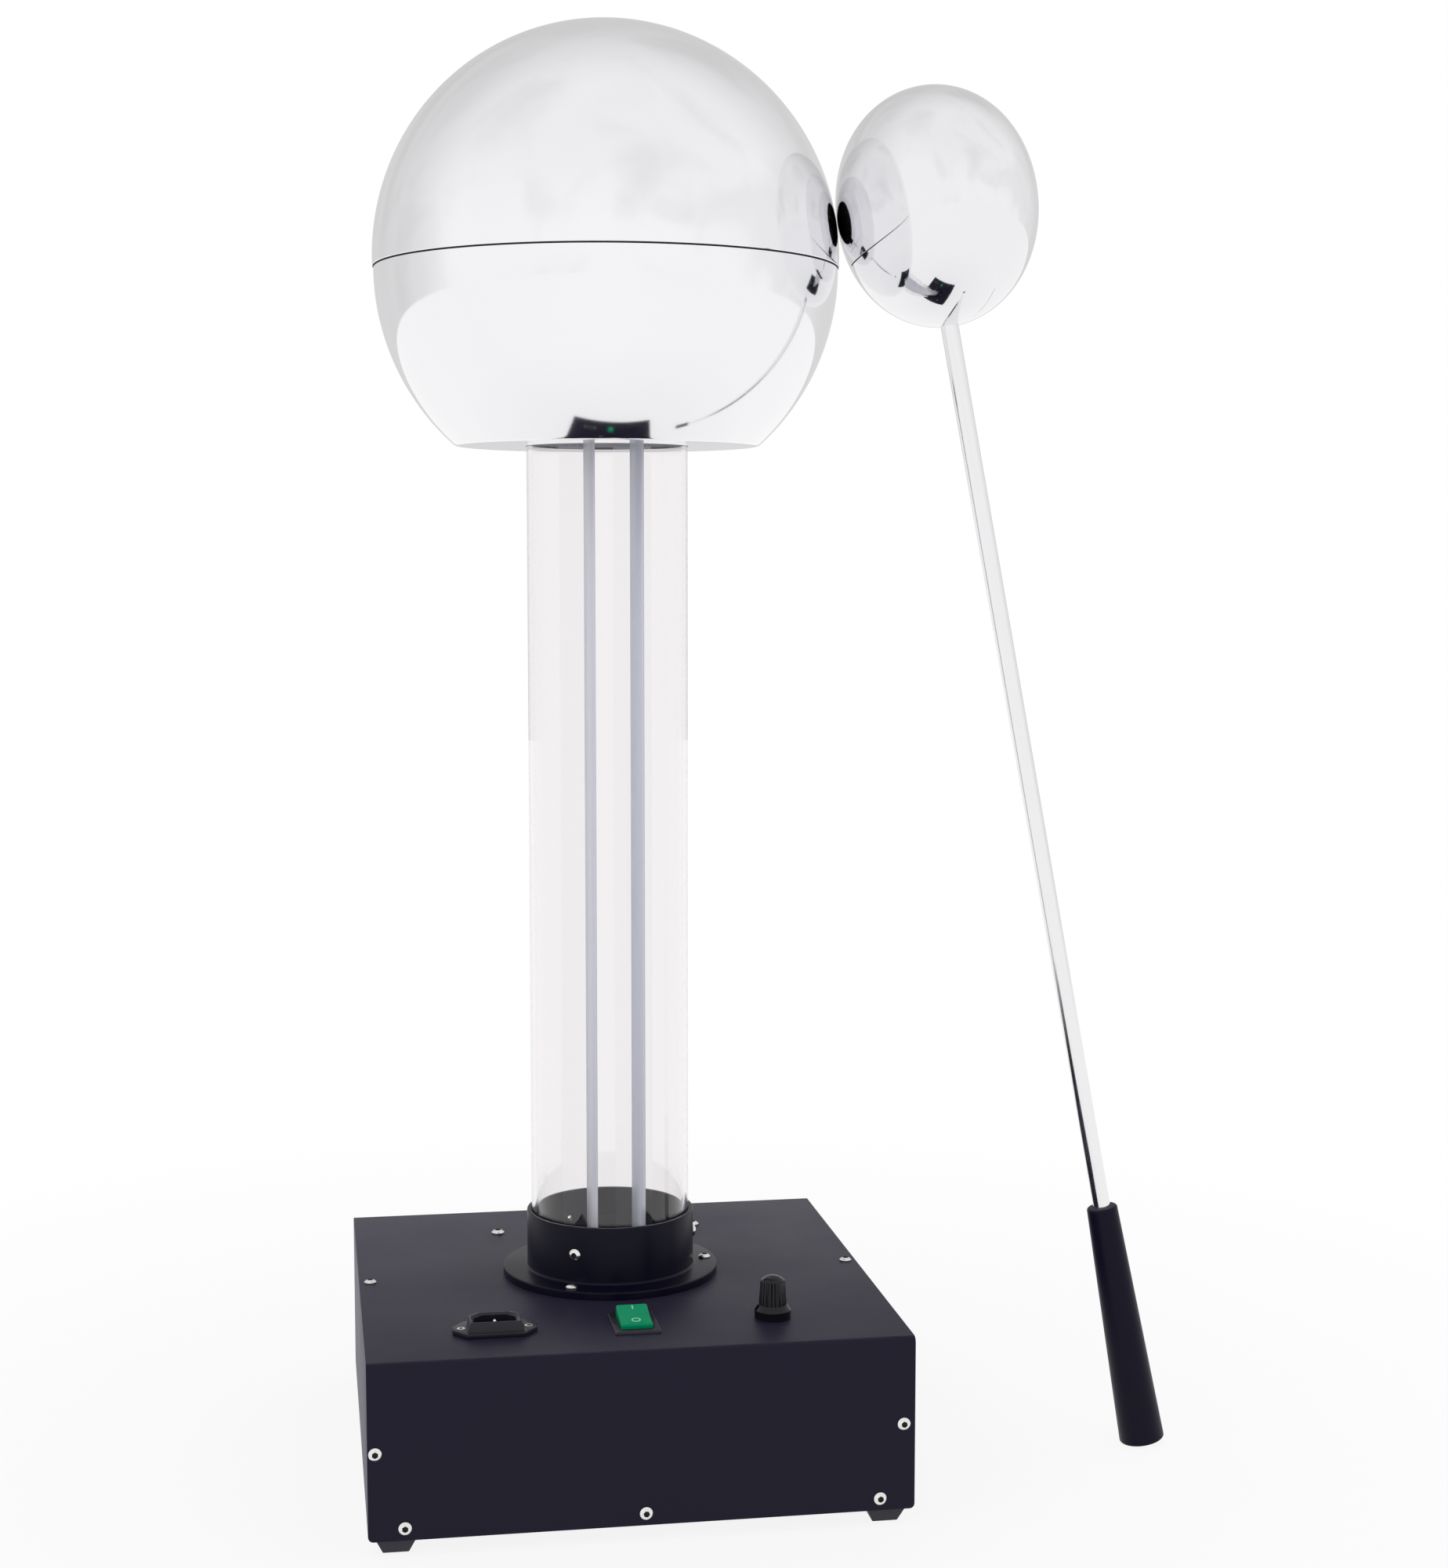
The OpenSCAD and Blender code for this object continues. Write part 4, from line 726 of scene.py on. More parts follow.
class GENERATOR_OT_dome(bpy.types.Operator):
    """Two spun halves of the dome, which meet at a lapped seam"""
    bl_idname = "generator.dome"
    bl_label = "Dome"

    def execute(self, context):
        sizes = context.scene.dome_sizes
        inner = DOME_R - sizes.wall
        centre = (0, DOME_MID_Z)
        edge = sizes.rim_edge
        groove = SEAM_Z + sizes.groove
        deep = DOME_R - 2 * edge
        upper = (arc(centre, DOME_R, 90, 0, 80)
                 + [(DOME_R, groove + edge), (DOME_R - edge, groove), (deep, groove), (deep, SEAM_Z),
                    (inner, SEAM_Z)]
                 + arc(centre, inner, 0, 90, 48))
        shell = spun(upper, sizes.facets, closed=False)
        for face in shell.faces:
            middle_z = face.calc_center_median().z
            face.material_index = int(SEAM_Z - TINY < middle_z < groove + TINY)
        add_piece("upper_dome_shell", shell, ("polished dome", "seam shadow"),
                  "base", "dome_metal", "dome_upper")

        radius = span("dome_lower").x / 2
        flat = low("dome_lower").z - SEAM_Z
        hole = TUBE_R + sizes.hole_gap
        sleeve = inner - sizes.lap_gap
        outside = bowl(radius, flat, sizes.flat_edge, 64)
        inside = bowl(radius - sizes.wall, flat + sizes.wall, sizes.flat_edge - sizes.wall, 40)
        lower = ([(sleeve, sizes.lap), (sleeve, 0), (radius - edge, 0)]
                 + [(radius, -edge)] + outside[2:]
                 + [(hole, flat), (hole, flat + sizes.wall)] + inside[::-1][:-1]
                 + [(sleeve - sizes.wall, 0), (sleeve - sizes.wall, sizes.lap)])
        add_piece("lower_dome_shell", spun(lower, sizes.facets), "polished dome",
                  "base", "dome_metal", "dome_lower", place=Matrix.Translation((0, 0, SEAM_Z)))
        return {"FINISHED"}


# ---------- column ----------

class GENERATOR_OT_column(bpy.types.Operator):
    """Clear tube and the collar that holds it"""
    bl_idname = "generator.column"
    bl_label = "Column"

    def execute(self, context):
        sizes = context.scene.column_sizes
        bottom, top = low("tube").z, high("tube").z
        bore = TUBE_R - sizes.tube_wall
        cut_edge = sizes.tube_edge
        tube = [(bore, bottom), (TUBE_R, bottom), (TUBE_R, top - cut_edge), (TUBE_R - cut_edge, top),
                (bore + cut_edge, top), (bore, top - cut_edge)]
        add_piece("clear_tube", spun(tube, sizes.tube_facets), "clear acrylic", "base", "clear_tube", "tube")

        base, rim = low("column_collar").z, high("column_collar").z
        flange_r = span("column_collar").x / 2
        inside = TUBE_R + sizes.collar_gap
        outside = inside + sizes.collar_wall
        edge = sizes.flange_edge
        shelf = base + sizes.flange
        fillet = sizes.fillet
        collar = ([(inside, base), (flange_r, base)]
                  + arc((flange_r - edge, shelf - edge), edge, 0, 90, 4)
                  + arc((outside + fillet, shelf + fillet), fillet, 270, 180, 6)
                  + arc((outside - edge, rim - edge), edge, 0, 90, 4)
                  + [(inside + edge / 2, rim), (inside, rim - edge / 2)])
        add_piece("turned_collar", spun(collar, 192), "collar black", "base", "collar_black", "column_collar")
        return {"FINISHED"}


class GENERATOR_OT_belt(bpy.types.Operator):
    """Flat belt round both rollers"""
    bl_idname = "generator.belt"
    bl_label = "Belt"

    def execute(self, context):
        thickness = context.scene.column_sizes.belt
        width = span("belt")
        radius = width.x / 2 - thickness
        lower = low("belt").z + width.x / 2
        rise = width.z - width.x
        facets = 96
        bm = bmesh.new()
        turned = Matrix.Rotation(pi / facets, 4, "Z")
        bmesh.ops.create_circle(bm, segments=facets, radius=radius, cap_ends=False, matrix=turned)
        far_half = [vert for vert in bm.verts if vert.co.y > 0]
        bmesh.ops.translate(bm, verts=far_half, vec=(0, rise, 0))
        loop = bmesh.ops.extrude_edge_only(bm, edges=bm.edges)
        raised = [each for each in loop["geom"] if isinstance(each, bmesh.types.BMVert)]
        bmesh.ops.translate(bm, verts=raised, vec=(0, 0, width.y))
        bmesh.ops.recalc_face_normals(bm, faces=bm.faces)
        lowest_axis = Matrix.Translation((middle("belt").x, high("belt").y, lower))
        upright = lowest_axis @ Matrix.Rotation(pi / 2, 4, "X")
        belt = add_piece("flat_belt", bm, "belt rubber", "base", "belt_rubber", "belt", place=upright)
        wall = belt.modifiers.new("Thickness", "SOLIDIFY")
        wall.thickness = thickness
        wall.offset = 1
        return {"FINISHED"}


# ---------- base box ----------

def bent_sheet(lowest, highest, open_sides, bend, sheet):
    """A box of sheet metal without its open sides, bent where two of its kept sides meet."""
    bm = block(lowest, highest)
    bmesh.ops.delete(bm, geom=[face for face in bm.faces if open_sides(face.normal)], context="FACES")
    round_edges(bm, bend, lambda edge: len(edge.link_faces) == 2, 6)
    bmesh.ops.recalc_face_normals(bm, faces=bm.faces)
    centre = (lowest + highest) / 2
    if sum((face.calc_center_median() - centre).dot(face.normal) for face in bm.faces) < 0:
        bmesh.ops.reverse_faces(bm, faces=bm.faces)
    bmesh.ops.solidify(bm, geom=bm.faces, thickness=sheet)
    return bm


class GENERATOR_OT_box(bpy.types.Operator):
    """Bent cover, two side panels and the floor of the base box"""
    bl_idname = "generator.box"
    bl_label = "Base box"

    def execute(self, context):
        sizes = context.scene.box_sizes
        cover = bent_sheet(
            low("base_cover"), high("base_cover"), lambda normal: abs(normal.x) > 0.5 or normal.z < -0.5,
            sizes.bend, sizes.sheet)
        corners = [edge for edge in cover.edges
                   if is_corner(edge) and abs((edge.verts[0].co - edge.verts[1].co).normalized().y) > 0.9
                   and edge.verts[0].co.z < BOX_TOP / 2 and edge.calc_length() < 2 * sizes.sheet]
        bmesh.ops.bevel(cover, geom=corners, offset=sizes.corner, segments=5, profile=0.5, affect="EDGES",
                        material=-1)
        through = 10 * MM
        cover = cut(cover, rod_cutter(
            sizes.column_hole / 2, BOX_TOP - through, BOX_TOP + through, segments=96))
        soften(add_piece("bent_cover", cover, "box coat", "base", "cover_sheet", "base_cover"), sizes.burr)
        for side in ("left", "right"):
            node = "side_panel_" + side
            inward = -1 if side == "right" else 1
            panel = bent_sheet(
                low(node), high(node), lambda normal: normal.x * inward > 0.5 or normal.z < -0.5,
                sizes.side_bend, sizes.sheet)
            add_piece(side + "_panel", panel, "box coat", "base", "panel_sheet", node)
        paint("base_plate", "box coat")
        return {"FINISHED"}


def paint(node, finish):
    """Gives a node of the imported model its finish."""
    piece = frame["nodes"][node]
    for slot in piece.material_slots:
        slot.material = bpy.data.materials[finish]


class GENERATOR_OT_feet(bpy.types.Operator):
    """Four square rubber feet, narrower on the floor, with a pocket for their screw"""
    bl_idname = "generator.feet"
    bl_label = "Feet"

    def execute(self, context):
        sizes = context.scene.box_sizes
        height, top, pocket = span("feet").z, sizes.foot_top, sizes.foot_pocket
        foot = tapered(rectangle(sizes.foot_low, sizes.foot_low), rectangle(top, top), 0, height)
        round_edges(foot, sizes.foot_edge, is_corner)
        foot = cut(foot, *(rod_cutter(radius, -height, reach) for radius, reach in
                           ((pocket, height / 2), (pocket / 2, 2 * height))))
        near, far = low("feet"), high("feet")
        places = [Matrix.Translation((x, y, 0)) for x in (near.x + top / 2, far.x - top / 2)
                  for y in (near.y + top / 2, far.y - top / 2)]
        add_piece("rubber_feet", copies(foot, places), "foot rubber", "base", "foot_rubber", "feet")
        return {"FINISHED"}


# ---------- screws ----------

SCREW_FACETS = 40
NUT_R, NUT_H = 4 * MM, 3.2 * MM
SHORT_SHANK, LONG_SHANK = 8 * MM, 11 * MM
NUT_BELOW_FLANGE, NUT_BELOW_SHEET, NUT_BELOW_END = 10 * MM, 5 * MM, 2.6 * MM


def pan_head(shank_r, head_r, head_h, shank):
    """Button-head screw along -Z, with the underside of its head at the origin and a hexagon socket."""
    crown = 0.65 * head_h
    dome_r = (head_r ** 2 + crown ** 2) / (2 * crown)
    reach = degrees(atan2(head_r, dome_r - crown))
    section = (arc((0, head_h - dome_r), dome_r, 90, 90 - reach, 10)
               + [(head_r, 0.12 * head_h), (head_r * 0.94, 0), (shank_r, 0),
                  (shank_r, -shank + shank_r / 2), (shank_r * 0.6, -shank), (0, -shank)])
    return socketed(spun(section, SCREW_FACETS, closed=False), 0.5 * head_r, 0.3 * head_h, head_h)


def flat_head(shank_r, head_r, head_h, shank):
    """Countersunk screw along -Z, flush with the origin."""
    edge = 0.15 * MM
    section = [(0, 0), (head_r - edge, 0), (head_r, -edge),
               (shank_r, -head_h), (shank_r, -shank), (0, -shank)]
    return socketed(spun(section, SCREW_FACETS, closed=False), 0.5 * head_r, -0.6 * head_h, 0)


def socketed(screw, radius, bottom, top):
    """Cuts a hexagon socket into a head. Its faces get the second finish."""
    socket = bmesh.new()
    bmesh.ops.create_cone(socket, cap_ends=True, segments=6, radius1=radius * 0.9, radius2=radius * 1.25,
                          depth=2 * (top - bottom), matrix=Matrix.Translation((0, 0, top)))
    screw = cut(screw, socket)
    for face in screw.faces:
        at = face.calc_center_median()
        inside = at.xy.length < radius * 1.05 and at.z > bottom - TINY
        face.material_index = int(inside and (at.z < bottom + TINY or abs(face.normal.z) < 0.7))
    return screw


def hex_nut(across, height):
    bm = bmesh.new()
    bmesh.ops.create_cone(bm, cap_ends=True, segments=6, radius1=across, radius2=across, depth=height)
    round_edges(bm, 0.3 * MM, is_corner, 2)
    return bm


def pointing(direction, at, spin=20):
    """A place whose Z runs along a direction."""
    turned = UP.rotation_difference(Vector(direction)).to_matrix().to_4x4()
    return Matrix.Translation(at) @ turned @ Matrix.Rotation(radians(spin), 4, "Z")


def thirds(radius, z, turned=0.0):
    """Three places round the column at a radius, with their outward directions."""
    return [(Vector((radius * cos(angle), radius * sin(angle), z)), Vector((cos(angle), sin(angle), 0)))
            for angle in (turned, turned + 2 * pi / 3, turned + 4 * pi / 3)]


M4 = (2 * MM, 3.8 * MM, 2.6 * MM)
M4_DOMED = (2 * MM, 4.3 * MM, 3 * MM)
M3_FLUSH = (1.5 * MM, 2.6 * MM, 1.6 * MM)
SUNK = 0.12 * MM


class GENERATOR_OT_screws(bpy.types.Operator):
    """Every screw that shows on the outside"""
    bl_idname = "generator.screws"
    bl_label = "Screws"

    def add(self, node, size, places, nuts=(), head=pan_head):
        """One piece with a screw at each place, and the nuts that belong to them."""
        shank = LONG_SHANK if nuts else SHORT_SHANK
        shapes = [copies(head(*size, shank), places), copies(hex_nut(NUT_R, NUT_H), nuts)]
        add_piece(node + "_set", joined(shapes), ("plated screw", "socket shadow"),
                  "base", "screw_steel", node)

    def execute(self, context):
        head_r = M4[1]
        head_z = low("foot_screws").z + M4[2]
        nut_z = high("foot_screws").z - NUT_BELOW_END
        self.add("foot_screws", M4, [pointing((0, 0, -1), (x, y, head_z)) for x, y in self.feet()],
                 [Matrix.Translation((x, y, nut_z)) for x, y in self.feet()])

        front, back = low("base_cover").y, high("base_cover").y
        for node in ("low_screws", "cover_screws"):
            near, far = low(node), high(node)
            across = [near.x + head_r, far.x - head_r]
            level = near.z + head_r
            if node == "low_screws":
                across.append((near.x + far.x) / 2)
            places = [pointing((0, side, 0), (x, y, level), 11 * index)
                      for index, x in enumerate(across) for side, y in ((-1, front), (1, back))]
            if node == "cover_screws":
                places += [pointing(UP, (side * across[1], (front + back) / 2, BOX_TOP), 35)
                           for side in (-1, 1)]
            self.add(node, M4, places)

        column = context.scene.column_sizes
        flange_z = BOX_TOP + column.flange
        pitch_r = high("flange_screws").x - head_r
        self.add("flange_screws", M4, [pointing(UP, at, 30) for at, out in thirds(pitch_r, flange_z)],
                 [Matrix.Translation(at - NUT_BELOW_FLANGE * UP) for at, out in thirds(pitch_r, flange_z)])
        outside = TUBE_R + column.collar_gap + column.collar_wall
        around = thirds(outside, middle("collar_screws").z, column.screw_turn)
        self.add("collar_screws", M4, [pointing(out, at) for at, out in around])
        bracket_y = middle("bracket_screws").y
        bracket_x = (low("bracket_screws").x + M4_DOMED[1], high("bracket_screws").x - M4_DOMED[1])
        self.add("bracket_screws", M4_DOMED,
                 [pointing(UP, (x, bracket_y, BOX_TOP)) for x in bracket_x],
                 [Matrix.Translation((x, bracket_y, BOX_TOP - NUT_BELOW_SHEET)) for x in bracket_x])
        flange_top = high("inlet_screws")
        inlet_x = (low("inlet_screws").x + M3_FLUSH[1], flange_top.x - M3_FLUSH[1])
        self.add("inlet_screws", M3_FLUSH,
                 [pointing(UP, (x, middle("inlet_screws").y, flange_top.z - SUNK)) for x in inlet_x],
                 head=flat_head)
        return {"FINISHED"}

    def feet(self):
        near, far = low("foot_screws"), high("foot_screws")
        return [(x, y) for x in (near.x + NUT_R, far.x - NUT_R) for y in (near.y + NUT_R, far.y - NUT_R)]


# ---------- controls ----------

STEPS_PER_FLUTE = 10
FLUTE_ROUND = 0.7
RIM_FOOT_CUT, RIM_TOP_CUT = 1.64, 0.95


class GENERATOR_OT_knob(bpy.types.Operator):
    """Fluted speed knob with a skirt and a domed end"""
    bl_idname = "generator.knob"
    bl_label = "Speed knob"

    def execute(self, context):
        sizes = context.scene.control_sizes
        skirt_r = span("speed_knob").x / 2
        top = span("speed_knob").z
        body_r, tip_r = sizes.knob_body, sizes.knob_tip
        neck_z = sizes.knob_skirt + sizes.knob_cone
        tip_z = top - sizes.knob_crown
        crown_r = (tip_r ** 2 + sizes.knob_crown ** 2) / (2 * sizes.knob_crown)
        reach = degrees(atan2(tip_r, crown_r - sizes.knob_crown))
        edge = sizes.knob_edge
        section = (arc((0, top - crown_r), crown_r, 90, 90 - reach, 10)
                   + [(tip_r, tip_z - edge), (body_r, neck_z)]
                   + [(body_r + edge, neck_z), (skirt_r - edge, sizes.knob_skirt),
                      (skirt_r, sizes.knob_skirt - edge), (skirt_r, edge), (skirt_r - edge, 0), (0, 0)])
        bm = spun(section, sizes.knob_flutes * STEPS_PER_FLUTE, closed=False)
        grip = [vert for vert in bm.verts if neck_z - TINY < vert.co.z < tip_z + TINY
                and vert.co.xy.length < body_r + edge / 2]
        for vert in grip:
            angle = atan2(vert.co.y, vert.co.x)
            pinch = sizes.knob_flute * max(0, cos(sizes.knob_flutes * angle)) ** FLUTE_ROUND
            vert.co.xy = vert.co.xy * (1 - pinch / vert.co.xy.length)
        base = middle("speed_knob")
        place = Matrix.Translation((base.x, base.y, low("speed_knob").z))
        add_piece("fluted_knob", bm, "knob black", "knob", "knob_black", "speed_knob", place=place)
        return {"FINISHED"}


def cut_corners(width, depth, corner):
    """Rectangle with its two back corners cut."""
    x, y = width / 2, depth / 2
    return [(-x, -y), (x, -y), (x, y - corner), (x - corner, y), (-x + corner, y), (-x, y - corner)]


class GENERATOR_OT_inlet(bpy.types.Operator):
    """Mains inlet: flange, raised rim with a shaped opening, and its three pins"""
    bl_idname = "generator.inlet"
    bl_label = "Mains inlet"

    def execute(self, context):
        sizes = context.scene.control_sizes
        whole = span("inlet_housing")
        half, deep = whole.x / 2, whole.y / 2
        tip = sizes.inlet_tip / 2
        hair = 0.2 * MM
        shoulder = sizes.inlet_foot / 2 + hair
        rim_z = high("inlet_housing").z - BOX_TOP
        under = low("inlet_housing").z - BOX_TOP
        cut_size = sizes.inlet_cut
        flange = prism([(-half, -tip), (-shoulder, -deep), (shoulder, -deep), (half, -tip),
                        (half, tip), (shoulder, deep), (-shoulder, deep), (-half, tip)], 0, sizes.inlet_flange)
        round_edges(flange, sizes.moulded_edge, is_corner)
        pitch = span("inlet_screws").x / 2 - M3_FLUSH[1]
        flange = cut(flange, *(rod_cutter(M3_FLUSH[1] + hair, MM, rim_z, x) for x in (-pitch, pitch)))
        rim = tapered(cut_corners(sizes.inlet_foot, sizes.inlet_foot_deep, RIM_FOOT_CUT * cut_size),
                      cut_corners(sizes.inlet_rim, sizes.inlet_rim_deep, RIM_TOP_CUT * cut_size),
                      sizes.inlet_flange / 2, rim_z)
        round_edges(rim, 0.8 * sizes.moulded_edge, is_corner)
        body = prism(rectangle(sizes.inlet_body, sizes.inlet_body_deep), under, sizes.inlet_flange / 2)
        chamfer = sizes.inlet_chamfer
        opening = cut_corners(sizes.inlet_well, sizes.inlet_well_deep, cut_size)
        widened = cut_corners(2 * sizes.inlet_mouth - sizes.inlet_well,
                              2 * sizes.inlet_mouth_deep - sizes.inlet_well_deep, cut_size)
        shapes = []
        for shape in (flange, rim, body):
            well = prism(opening, rim_z - sizes.inlet_depth, rim_z + chamfer)
            mouth = tapered(opening, widened, rim_z - chamfer, rim_z + chamfer)
            shapes.append(cut(shape, well, mouth))
        place = Matrix.Translation((middle("inlet_housing").x, middle("inlet_housing").y, BOX_TOP))
        add_piece("inlet_moulding", joined(shapes), "moulded black", "base", "inlet_black",
                  "inlet_housing", place=place)

        pins = span("inlet_pins")
        side, shift = (pins.x - sizes.pin) / 2, (pins.y - sizes.pin_width) / 2
        foot = Vector((middle("inlet_pins").x, middle("inlet_pins").y, low("inlet_pins").z))
        blades = []
        for x, y, shorter in ((0, shift, 0), (-side, -shift, sizes.pin_step), (side, -shift, sizes.pin_step)):
            blade = prism(rectangle(sizes.pin, sizes.pin_width), 0, pins.z - shorter)
            round_edges(blade, sizes.pin_edge,
                        lambda edge: is_corner(edge) and min(vert.co.z for vert in edge.verts) > MM)
            blade.transform(Matrix.Translation(foot + Vector((x, y, 0))))
            blades.append(blade)
        add_piece("inlet_blades", joined(blades), "plated screw", "base", "tab_metal", "inlet_pins")
        return {"FINISHED"}


class GENERATOR_OT_switch(bpy.types.Operator):
    """Rocker switch: its frame, the green rocker and the two marks"""
    bl_idname = "generator.switch"
    bl_label = "Rocker switch"

    def execute(self, context):
        sizes = context.scene.control_sizes
        frame_box = span("switch_frame")
        centre = middle("switch_frame")
        lip = high("switch_frame").z - BOX_TOP
        under = low("switch_frame").z - BOX_TOP
        plate = prism(rectangle(frame_box.x, frame_box.y), 0, lip)
        upper = [face for face in plate.faces if face.normal.z > 0.9]
        round_edges(plate, sizes.switch_slope,
                    lambda edge: any(face in upper for face in edge.link_faces), 4)
        case = prism(rectangle(sizes.switch_body, sizes.switch_body_deep), under, lip / 2)
        opening = rectangle(sizes.switch_well, sizes.switch_well_deep)
        shapes = [cut(shape, prism(opening, -sizes.switch_depth, 5 * lip)) for shape in (plate, case)]
        add_piece("switch_surround", joined(shapes), "moulded black", "base", "switch_black",
                  "switch_frame", place=Matrix.Translation((centre.x, centre.y, BOX_TOP)))
        self.add_rocker(sizes)
        return {"FINISHED"}

    def add_rocker(self, sizes):
        pivot = Vector(joint("rocker_tilt")["pos_m"])
        place = Matrix.Translation(pivot) @ Matrix.Rotation(ROCKER_TILT, 4, "X")
        half_l, half_w = sizes.rocker / 2, sizes.rocker_width / 2
        face_z, dip = sizes.rocker_face, sizes.rocker_dip
        foot_z, end_z, taper = -2.6 * MM, -1 * MM, 4 * MM
        rocker = bmesh.new()
        profile = [(-half_l, end_z), (-half_l + taper, foot_z), (half_l - taper, foot_z),
                   (half_l, end_z), (half_l, face_z), (0, face_z - dip), (-half_l, face_z)]
        side = rocker.faces.new([rocker.verts.new((-half_w, y, z)) for y, z in profile])
        grown = bmesh.ops.extrude_face_region(rocker, geom=[side])
        raised = [each for each in grown["geom"] if isinstance(each, bmesh.types.BMVert)]
        bmesh.ops.translate(rocker, verts=raised, vec=(2 * half_w, 0, 0))
        bmesh.ops.recalc_face_normals(rocker, faces=rocker.faces)
        crown = [face for face in rocker.faces if face.normal.z > 0.9]
        bmesh.ops.inset_region(rocker, faces=crown, thickness=sizes.rocker_border, use_even_offset=True)
        rim = [vert for vert in rocker.verts if vert.co.z > face_z - 2 * MM
               and (abs(abs(vert.co.x) - half_w) < TINY or abs(abs(vert.co.y) - half_l) < TINY)]
        bmesh.ops.translate(rocker, verts=rim, vec=(0, 0, -sizes.rocker_drop))
        soften(add_piece("green_rocker", rocker, "rocker green", "rocker", "rocker_green", "switch_rocker",
                         place=place, crease=20), 0.18 * MM)

        slope = dip / half_l
        bar = prism(rectangle(sizes.mark_stroke, sizes.mark_bar), 0, sizes.mark_height)
        inner, outer = sizes.mark_ring - sizes.mark_stroke / 2, sizes.mark_ring + sizes.mark_stroke / 2
        ring = spun([(inner, 0), (outer, 0), (outer, sizes.mark_height), (inner, sizes.mark_height)], 48)
        for name, mark, side, along in (("mark_on", bar, 1, sizes.mark_bar_at),
                                        ("mark_off", ring, -1, sizes.mark_ring_at)):
            on_face = (Matrix.Translation((0, side * along, face_z - dip + along * slope))
                       @ Matrix.Rotation(side * atan2(slope, 1), 4, "X"))
            add_piece(name, mark, "rocker mark", "rocker", "rocker_green", place=place @ on_face)


# ---------- wand ----------

BALL_FACETS, ROD_FACETS, HANDLE_FACETS = 224, 48, 96


def ball_section(sizes, inward):
    """Half of the ball from its pole to its seam: part of a sphere, then a tighter shoulder."""
    radius = sizes.ball / 2
    height = sizes.ball_axis / 2
    mid = radius - sizes.shoulder
    back = (mid ** 2 - (height - sizes.shoulder) ** 2) / (2 * (height - sizes.shoulder))
    face_r = height + back
    meet = degrees(atan2(back, mid))
    return (arc((0, -back), face_r - inward, 90, meet, 40)
            + arc((mid, 0), sizes.shoulder - inward, meet, 0, 32)[1:])


class GENERATOR_OT_wand(bpy.types.Operator):
    """Discharge wand: two ball halves, rod and handle"""
    bl_idname = "generator.wand"
    bl_label = "Discharge wand"

    def execute(self, context):
        sizes = context.scene.wand_sizes
        edge = sizes.seam_edge
        for side, node, name in ((1, "ball_far_half", "far_ball_shell"),
                                 (-1, "ball_near_half", "near_ball_shell")):
            outside = ball_section(sizes, 0)
            rim = outside[-1][0]
            inside = ball_section(sizes, sizes.ball_wall)
            section = outside[:-1] + [(rim, edge), (rim - edge, 0)] + inside[::-1]
            add_piece(name, spun(section, BALL_FACETS, closed=False), "polished ball",
                      "wand", "ball_metal", node, place=ball_place(side))

        reach = (rod_end(True) - rod_end(False)).length
        chamfer = sizes.rod_edge
        rod = [(0, 0), (ROD_R, 0), (ROD_R, reach - chamfer), (ROD_R - chamfer, reach), (0, reach)]
        add_piece("polished_rod", spun(rod, ROD_FACETS, closed=False), "polished rod",
                  "wand", "rod_metal", "wand_rod", place=wand_place())

        foot_r = sizes.handle_low / 2 - sizes.handle_edge
        start = rod_end(False) - WAND_UP * (rod_end(False).z - foot_r * sin(LEAN)) / WAND_UP.z
        low_r, top_r, round_r = sizes.handle_low / 2, sizes.handle_top / 2, sizes.handle_edge
        top = sizes.handle
        bore = ROD_R + sizes.handle_gap
        bore_end = top - sizes.handle_bore
        handle = ([(0, 0)] + arc((low_r - round_r, round_r), round_r, -90, 0, 6)
                  + arc((top_r - round_r, top - round_r), round_r, 0, 90, 6)
                  + [(bore, top), (bore, bore_end), (0, bore_end)])
        add_piece("black_handle", spun(handle, HANDLE_FACETS, closed=False), "handle black",
                  "wand", "handle_black", "wand_handle",
                  place=Matrix.Translation(start) @ Matrix.Rotation(-LEAN, 4, "Y"))
        return {"FINISHED"}


# ---------- works inside the box and the dome ----------

INNER_FINISHES = {
    "bare sheet": ("motor_bracket", "roller_frame", "shaft_coupling", "motor_case", "speed_control",
                   "axle_clips", "rod_nut", "rod_bush"),
    "moulded black": ("motor_end_cap",),
    "plated screw": ("motor_screws", "control_nut", "switch_tabs", "ring_screws", "head_screws"),
    "polished rod": ("drive_shaft", "motor_spindle", "control_spindle", "upper_axle"),
    "bronze bush": ("shaft_bushes", "roller_bushes"),
    "acetal": ("lower_roller", "upper_roller", "comb_bracket", "board_spacers"),
    "brass sheet": ("lower_comb", "upper_comb", "contact_rod"),
    "turned aluminium": ("heat_sink", "dome_ring", "head_cup", "comb_bridge"),
    "circuit board": ("control_board",),
    "part blue": ("board_parts",),
}


class GENERATOR_OT_works(bpy.types.Operator):
    """Finishes of the drive, the head, the electric parts and what holds the ball on its rod"""
    bl_idname = "generator.works"
    bl_label = "Inner works"

    def execute(self, context):
        for finish, nodes in INNER_FINISHES.items():
            for node in nodes:
                paint(node, finish)
        return {"FINISHED"}


# ---------- stage ----------

def seen_directly(tree):
    """1 where a ray from the camera, off a gloss or through the clear tube arrives, else 0."""
    path = tree.nodes.new("ShaderNodeLightPath").outputs
    seen = maths(tree, "ADD", path["Is Camera Ray"], path["Is Transmission Ray"])
    seen = maths(tree, "ADD", seen, path["Is Glossy Ray"])
    return maths(tree, "MINIMUM", seen, 1.0)


